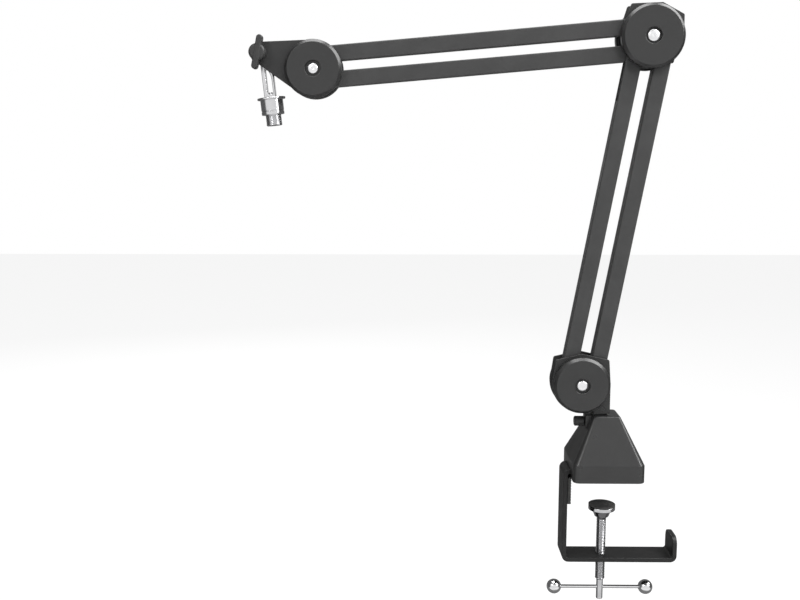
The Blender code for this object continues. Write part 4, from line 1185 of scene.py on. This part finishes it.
def add_clamp_screw():
    """The screw, its pad and the tommy bar with its two balls."""
    add_piece("clamp_screw_thread", screw_mesh(), "clamp_screw", SCREW_CHROME, sharp=28)
    add_piece("pressure_pad_turning", pad_mesh(), "pressure_pad", SCREW_CHROME)
    add_piece("pad_face_rubber", pad_face_mesh(), "pad_face", RUBBER)
    bar = tommy_bar_mesh()
    add_piece("tommy_bar_rod", bar, "tommy_bar", BALL_CHROME, middle("tommy_bar"), TO_RIGHT)
    for side, turn in (("left", TO_LEFT), ("right", TO_RIGHT)):
        node = "tommy_ball_" + side
        radius = size_of(node).z / 2
        low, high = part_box(node)
        x = low[0] + radius if side == "left" else high[0] - radius
        add_piece(node + "_turning", ball_mesh(radius), node, BALL_CHROME, (x, 0, middle(node).z), turn)


# Swivel post and lock screw


def add_post():
    """The post's block, rounded at its edges, with its grooved spigot."""
    low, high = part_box("swivel_post")
    rivet = middle("stem_rivet")
    block_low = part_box("lower_plate_front")[0][2] - PLAY
    right = high[0]
    left = middle("lower_bolt_front").x + STEM_RIGHT - STEM_WIDTH
    outline = fillet([(left, high[2], POST_CORNER), (right, high[2], POST_CORNER),
                      (right, block_low, POST_EDGE), (left, block_low, POST_EDGE)])
    mesh = sheet("post", [outline], low[1], high[1], POST_EDGE)
    lock = middle("lock_screw").z
    root = block_low + SPIGOT_ROOT
    corners = [(0, root, 0), (SPIGOT, root, 0), (SPIGOT, lock + POST_GROOVE_MOUTH, 0.0003),
               (POST_GROOVE, lock + POST_GROOVE_HALF, 0.0003),
               (POST_GROOVE, lock - POST_GROOVE_HALF, 0.0003),
               (SPIGOT, lock - POST_GROOVE_MOUTH, 0.0003), (SPIGOT, low[2], 0.0010), (0, low[2], 0)]
    spigot = turned("spigot", fillet(corners, 4, closed=False), MEDIUM)
    mesh = carve(mesh, moved(spigot, (SWIVEL_X, 0, 0)), "UNION")
    mesh = carve(mesh, drill(PIN_HOLE, -CUT, CUT, (rivet.x, 0, rivet.z), TO_FRONT))
    add_piece("swivel_post_forging", mesh, "swivel_post", PLATE_COAT)


def add_lock_screw():
    """The thumb screw, its head a plain cylinder with soft edges."""
    low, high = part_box("lock_screw")
    radius = size_of("lock_screw").z / 2
    length = high[0] - low[0]
    head_low = length - LOCK_HEAD
    dish = length - LOCK_DISH
    profile = [(0, dish), (radius - LOCK_DISH_EDGE, dish), (radius - LOCK_DISH_RIM, length),
               (radius - LOCK_RIM, length), (radius, length - LOCK_RIM), (radius, head_low + LOCK_BREAK),
               (radius - LOCK_BREAK, head_low), (LOCK_SHANK, head_low), (LOCK_SHANK, LOCK_BREAK),
               (LOCK_SHANK - LOCK_BREAK, 0), (0, 0)]
    mesh = turned("lock_screw", profile)
    place = (high[0], 0, middle("lock_screw").z)
    add_piece("lock_screw_head", mesh, "lock_screw", KNOB_PLASTIC, place, TO_LEFT)


# Head


def wing_mesh(face, end):
    """A round body that flows into two wings, moulded on its shank."""
    corners = [(0, end, 0), (WING_BODY, end, 0.0028), (WING_BODY, face, 0.0010), (0, face, 0)]
    body = turned("wing_body", fillet(corners, 6, closed=False), FINE)
    half = WING_WIDTH / 2
    reach = WING_REACH - half
    outline = arc((WING_SHIFT_HIGH, reach), half, 0, 180, 16)
    outline += arc((WING_SHIFT_LOW, -reach), half, 180, 360, 16)
    wings = sheet("wings", [outline], -end - WING_PROUD, -end + WING_DEPTH, WING_EDGE, 4)
    wings = moved(wings, turn=(0, WING_TILT, 0))
    piece = scratch(carve(moved(body, turn=TO_FRONT), wings, "UNION"))
    fine = piece.modifiers.new("remesh", "REMESH")
    fine.mode = "VOXEL"
    fine.voxel_size = WING_VOXEL
    melt = piece.modifiers.new("melt", "SMOOTH")
    melt.factor = 0.5
    melt.iterations = WING_MELTS
    return baked(piece)


def add_wing_screw():
    """The hand screw, its shank running through the head to the nut."""
    knob = middle("wing_nut")
    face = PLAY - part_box("wing_washer")[0][1]
    mesh = wing_mesh(face, face + WING_LENGTH)
    shank_end = WING_SHANK_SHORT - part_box("wing_screw")[1][1]
    shank = drill(WING_SHANK, shank_end, face + WING_SHANK_INSIDE, turn=TO_FRONT)
    mesh = carve(mesh, shank, "UNION")
    add_piece("wing_screw_moulding", mesh, "wing_screw", KNOB_PLASTIC, (knob.x, 0, knob.z), sharp=60)


def add_wing_washer():
    """The plated washer behind the hand screw."""
    radius = size_of("wing_washer").x / 2
    half = size_of("wing_washer").y / 2
    corners = [(WING_HOLE, half, 0.0002), (radius, half, 0.0004),
               (radius, -half, 0.0004), (WING_HOLE, -half, 0.0002)]
    washer = turned("wing_washer", fillet(corners, 3), FINE, closed=True)
    add_piece("wing_washer_disc", washer, "wing_washer", BOLT_CHROME, middle("wing_washer"), TO_FRONT)


def add_wing_nut():
    """A hexagon nut with its corners turned off."""
    size = size_of("wing_nut")
    radius = max(size.x, size.z) / 2
    tall = size.y
    hexagon = turned("wing_nut", [(0, tall), (radius, tall), (radius, 0), (0, 0)], 6)
    clear = radius * NUT_CLEAR
    cone = turned("cone", [(0, tall), (radius * NUT_FACE, tall), (clear, tall - NUT_FACE_SLOPE),
                           (clear, NUT_FOOT_SLOPE), (radius * NUT_FOOT, 0), (0, 0)], FINE)
    mesh = carve(hexagon, cone, "INTERSECT")
    mesh = carve(mesh, drill(WING_HOLE, -CUT, CUT))
    knob = middle("wing_nut")
    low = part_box("wing_nut")[0]
    add_piece("wing_nut_hexagon", mesh, "wing_nut", ZINC, (knob.x, low[1], knob.z), TO_REAR)


def yoke_mesh():
    """An eye, a straight leg, an arched leg and a foot."""
    eye = arc((0, 0), YOKE_EYE, *YOKE_EYE_ARC, 40)
    legs = [(LEG_LEFT, -YOKE_EYE - PLAY), (LEG_LEFT, -YOKE_DROP), (LEG_RIGHT, -YOKE_DROP)]
    arch = arc((LEG_RIGHT - SHOULDER, -SHOULDER_DROP), SHOULDER, *SHOULDER_ARC, 12)
    window_left = LEG_LEFT + LEG
    window_right = LEG_RIGHT - THIN_LEG
    width = window_right - window_left
    foot = -YOKE_DROP + YOKE_FOOT
    low = -WINDOW_TOP - WINDOW_RISE
    window = [(window_left, foot)]
    for step in range(WINDOW_STEPS + 1):
        angle = math.pi / 2 * step / WINDOW_STEPS
        window.append((window_left + width * math.sin(angle), low + WINDOW_RISE * math.cos(angle)))
    window.append((window_right, foot))
    half = size_of("yoke").y / 2
    mesh = sheet("yoke", [eye + legs + arch, window], -half, half, YOKE_EDGE, 4)
    mesh = carve(mesh, drill(WING_HOLE, -CUT, CUT, turn=TO_FRONT))
    return carve(mesh, drill(RIVET_HOLE, foot - CUT, foot + 0.002, (adapter_axis(), 0, 0)))


def adapter_axis():
    """The adapter's axis from the hand screw's, across the yoke."""
    return (LEG_LEFT + LEG_RIGHT) / 2 + ADAPTER_SHIFT


def adapter_mesh():
    """Rivet, flange, grooved collar and threaded stud."""
    head_low = -YOKE_DROP + YOKE_FOOT + PLAY
    head_top = head_low + RIVET_RISE
    top = -YOKE_DROP - PLAY
    collar_top = top - FLANGE
    collar_low = collar_top - COLLAR
    stud_low = collar_low - STUD
    groove_low = collar_low + COLLAR_GROOVE
    groove_top = groove_low + COLLAR_GROOVE_WIDTH
    floor = COLLAR_RADIUS - COLLAR_GROOVE_DEPTH
    corners = [(0, head_top, 0), (RIVET_HEAD, head_top, 0.0008), (RIVET_HEAD, head_low, 0),
               (RIVET_SHANK, head_low, 0), (RIVET_SHANK, top, 0), (FLANGE_RADIUS, top, 0.0006),
               (FLANGE_RADIUS, collar_top, 0.0006), (COLLAR_RADIUS, collar_top, 0.0004),
               (COLLAR_RADIUS, groove_top, 0.0002), (floor, groove_top - COLLAR_GROOVE_SLANT, 0.0001),
               (floor, groove_low + COLLAR_GROOVE_SLANT, 0.0001), (COLLAR_RADIUS, groove_low, 0.0002),
               (COLLAR_RADIUS, collar_low, 0.0006), (STUD_RADIUS, collar_low, 0)]
    profile = fillet(corners, 4, closed=False)
    low_end = stud_low + STUD_POINT
    profile += thread_rows(STUD_RADIUS, collar_low - PLAY, low_end, STUD_PITCH, STUD_ROWS)
    profile += [(STUD_RADIUS - STUD_POINT, stud_low), (0, stud_low)]
    wave = thread_wave(STUD_PITCH, STUD_DEPTH, low_end, collar_low, STUD_RADIUS)
    return turned("adapter", profile, STUD_FACETS, swell=wave)


def add_yoke():
    """The yoke and the threaded adapter below it."""
    knob = middle("wing_nut")
    tilt = (0, -YOKE_TILT, 0)
    place = Vector((knob.x, 0, knob.z))
    add_piece("yoke_casting", yoke_mesh(), "yoke", YOKE_CHROME, place, tilt)
    axis = place + Matrix.Rotation(-YOKE_TILT, 3, "Y") @ Vector((adapter_axis(), 0, 0))
    add_piece("thread_adapter_turning", adapter_mesh(), "thread_adapter", YOKE_CHROME, axis, tilt)


def finish_small_nodes():
    """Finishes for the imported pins, springs and bushes, by the first word that fits."""
    finishes = (("bush", NYLON), ("spring", SPRING_STEEL), ("stem_rivet", PLATE_COAT), ("pin", ZINC),
                ("stub", ZINC), ("screw", ZINC))
    for name, node in frame["nodes"].items():
        if node.hide_render:
            continue
        for word, material in finishes:
            if word in name:
                for slot in node.material_slots:
                    slot.material = material
                break


add_covers()
add_plates()
add_bars()
add_base()
add_clamp_screw()
add_post()
add_lock_screw()
add_wing_screw()
add_wing_washer()
add_wing_nut()
add_yoke()
finish_small_nodes()


# Floor, lights and camera


def add_floor():
    """A plain pale floor below the clamp."""
    work = bmesh.new()
    bmesh.ops.create_grid(work, x_segments=1, y_segments=1, size=FLOOR_REACH)
    floor = bpy.data.objects.new("floor", closed_mesh("floor", work))
    bpy.context.scene.collection.objects.link(floor)
    floor.location = (0, 0, FLOOR_HEIGHT)
    material, tree, shader = start_material("pale floor")
    shader.inputs["Base Color"].default_value = FLOOR_COLOUR
    shader.inputs["Roughness"].default_value = FLOOR_ROUGHNESS
    place = tree.nodes.new("ShaderNodeVectorMath")
    place.inputs[1].default_value = (0, 0, -ROOM_MIDDLE)
    tree.links.new(tree.nodes.new("ShaderNodeNewGeometry").outputs["Position"], place.inputs[0])
    room = place_group(tree, SURROUNDINGS)
    tree.links.new(place.outputs["Vector"], room.inputs["Direction"])
    plain = tree.nodes.new("ShaderNodeEmission")
    path, shown = background_rays(tree, room.outputs["Brightness"])
    tree.links.new(shown, plain.inputs["Color"])
    seen = maths(tree, "MAXIMUM", path.outputs["Is Camera Ray"], path.outputs["Is Glossy Ray"])
    seen = maths(tree, "MAXIMUM", seen, path.outputs["Is Transmission Ray"])
    blend = tree.nodes.new("ShaderNodeMixShader")
    tree.links.new(maths(tree, "MULTIPLY", seen, FLOOR_PLAIN), blend.inputs["Fac"])
    tree.links.new(shader.outputs["BSDF"], blend.inputs[1])
    tree.links.new(plain.outputs["Emission"], blend.inputs[2])
    tree.links.new(blend.outputs["Shader"], tree.nodes["Material Output"].inputs["Surface"])
    floor.data.materials.append(material)


def background_rays(tree, room):
    """Light Path, and a grey that is white to the eye and the room's in a mirror."""
    path = tree.nodes.new("ShaderNodeLightPath")
    mirrored = maths(tree, "MAXIMUM", path.outputs["Is Glossy Ray"], path.outputs["Is Transmission Ray"])
    reflected = maths(tree, "MULTIPLY", mirrored, room)
    return path, maths(tree, "MAXIMUM", path.outputs["Is Camera Ray"], reflected)


def add_light(name, place, aim, size, power, mirrored):
    """A square soft light that faces a point, and may stay out of mirrors."""
    lamp = bpy.data.lights.new(name, "AREA")
    lamp.shape = "SQUARE"
    lamp.size = size
    lamp.energy = power
    item = bpy.data.objects.new(name, lamp)
    bpy.context.scene.collection.objects.link(item)
    item.location = place
    item.visible_glossy = mirrored
    item.rotation_euler = (Vector(aim) - Vector(place)).to_track_quat("-Z", "Y").to_euler()


def add_sky():
    """White to the eye, the room in mirrors, and weak light on dull surfaces."""
    world = bpy.data.worlds.new("studio")
    bpy.context.scene.world = world
    world.use_nodes = True
    tree = world.node_tree
    sky = tree.nodes["Background"]
    room = place_group(tree, SURROUNDINGS)
    tree.links.new(tree.nodes.new("ShaderNodeTexCoord").outputs["Generated"], room.inputs["Direction"])
    shown = background_rays(tree, room.outputs["Brightness"])[1]
    tree.links.new(maths(tree, "MAXIMUM", shown, ROOM), sky.inputs["Color"])


def add_camera():
    """The photograph's viewpoint."""
    lens = bpy.data.cameras.new("camera")
    lens.lens = LENS
    lens.sensor_width = SENSOR
    item = bpy.data.objects.new("camera", lens)
    bpy.context.scene.collection.objects.link(item)
    item.location = CAMERA_PLACE
    item.rotation_euler = (math.pi / 2 - CAMERA_PITCH, 0, CAMERA_YAW)
    bpy.context.scene.camera = item


add_floor()
add_sky()
for lamp in LAMPS:
    add_light(*lamp)
add_camera()
bpy.context.scene.view_settings.view_transform = "Standard"
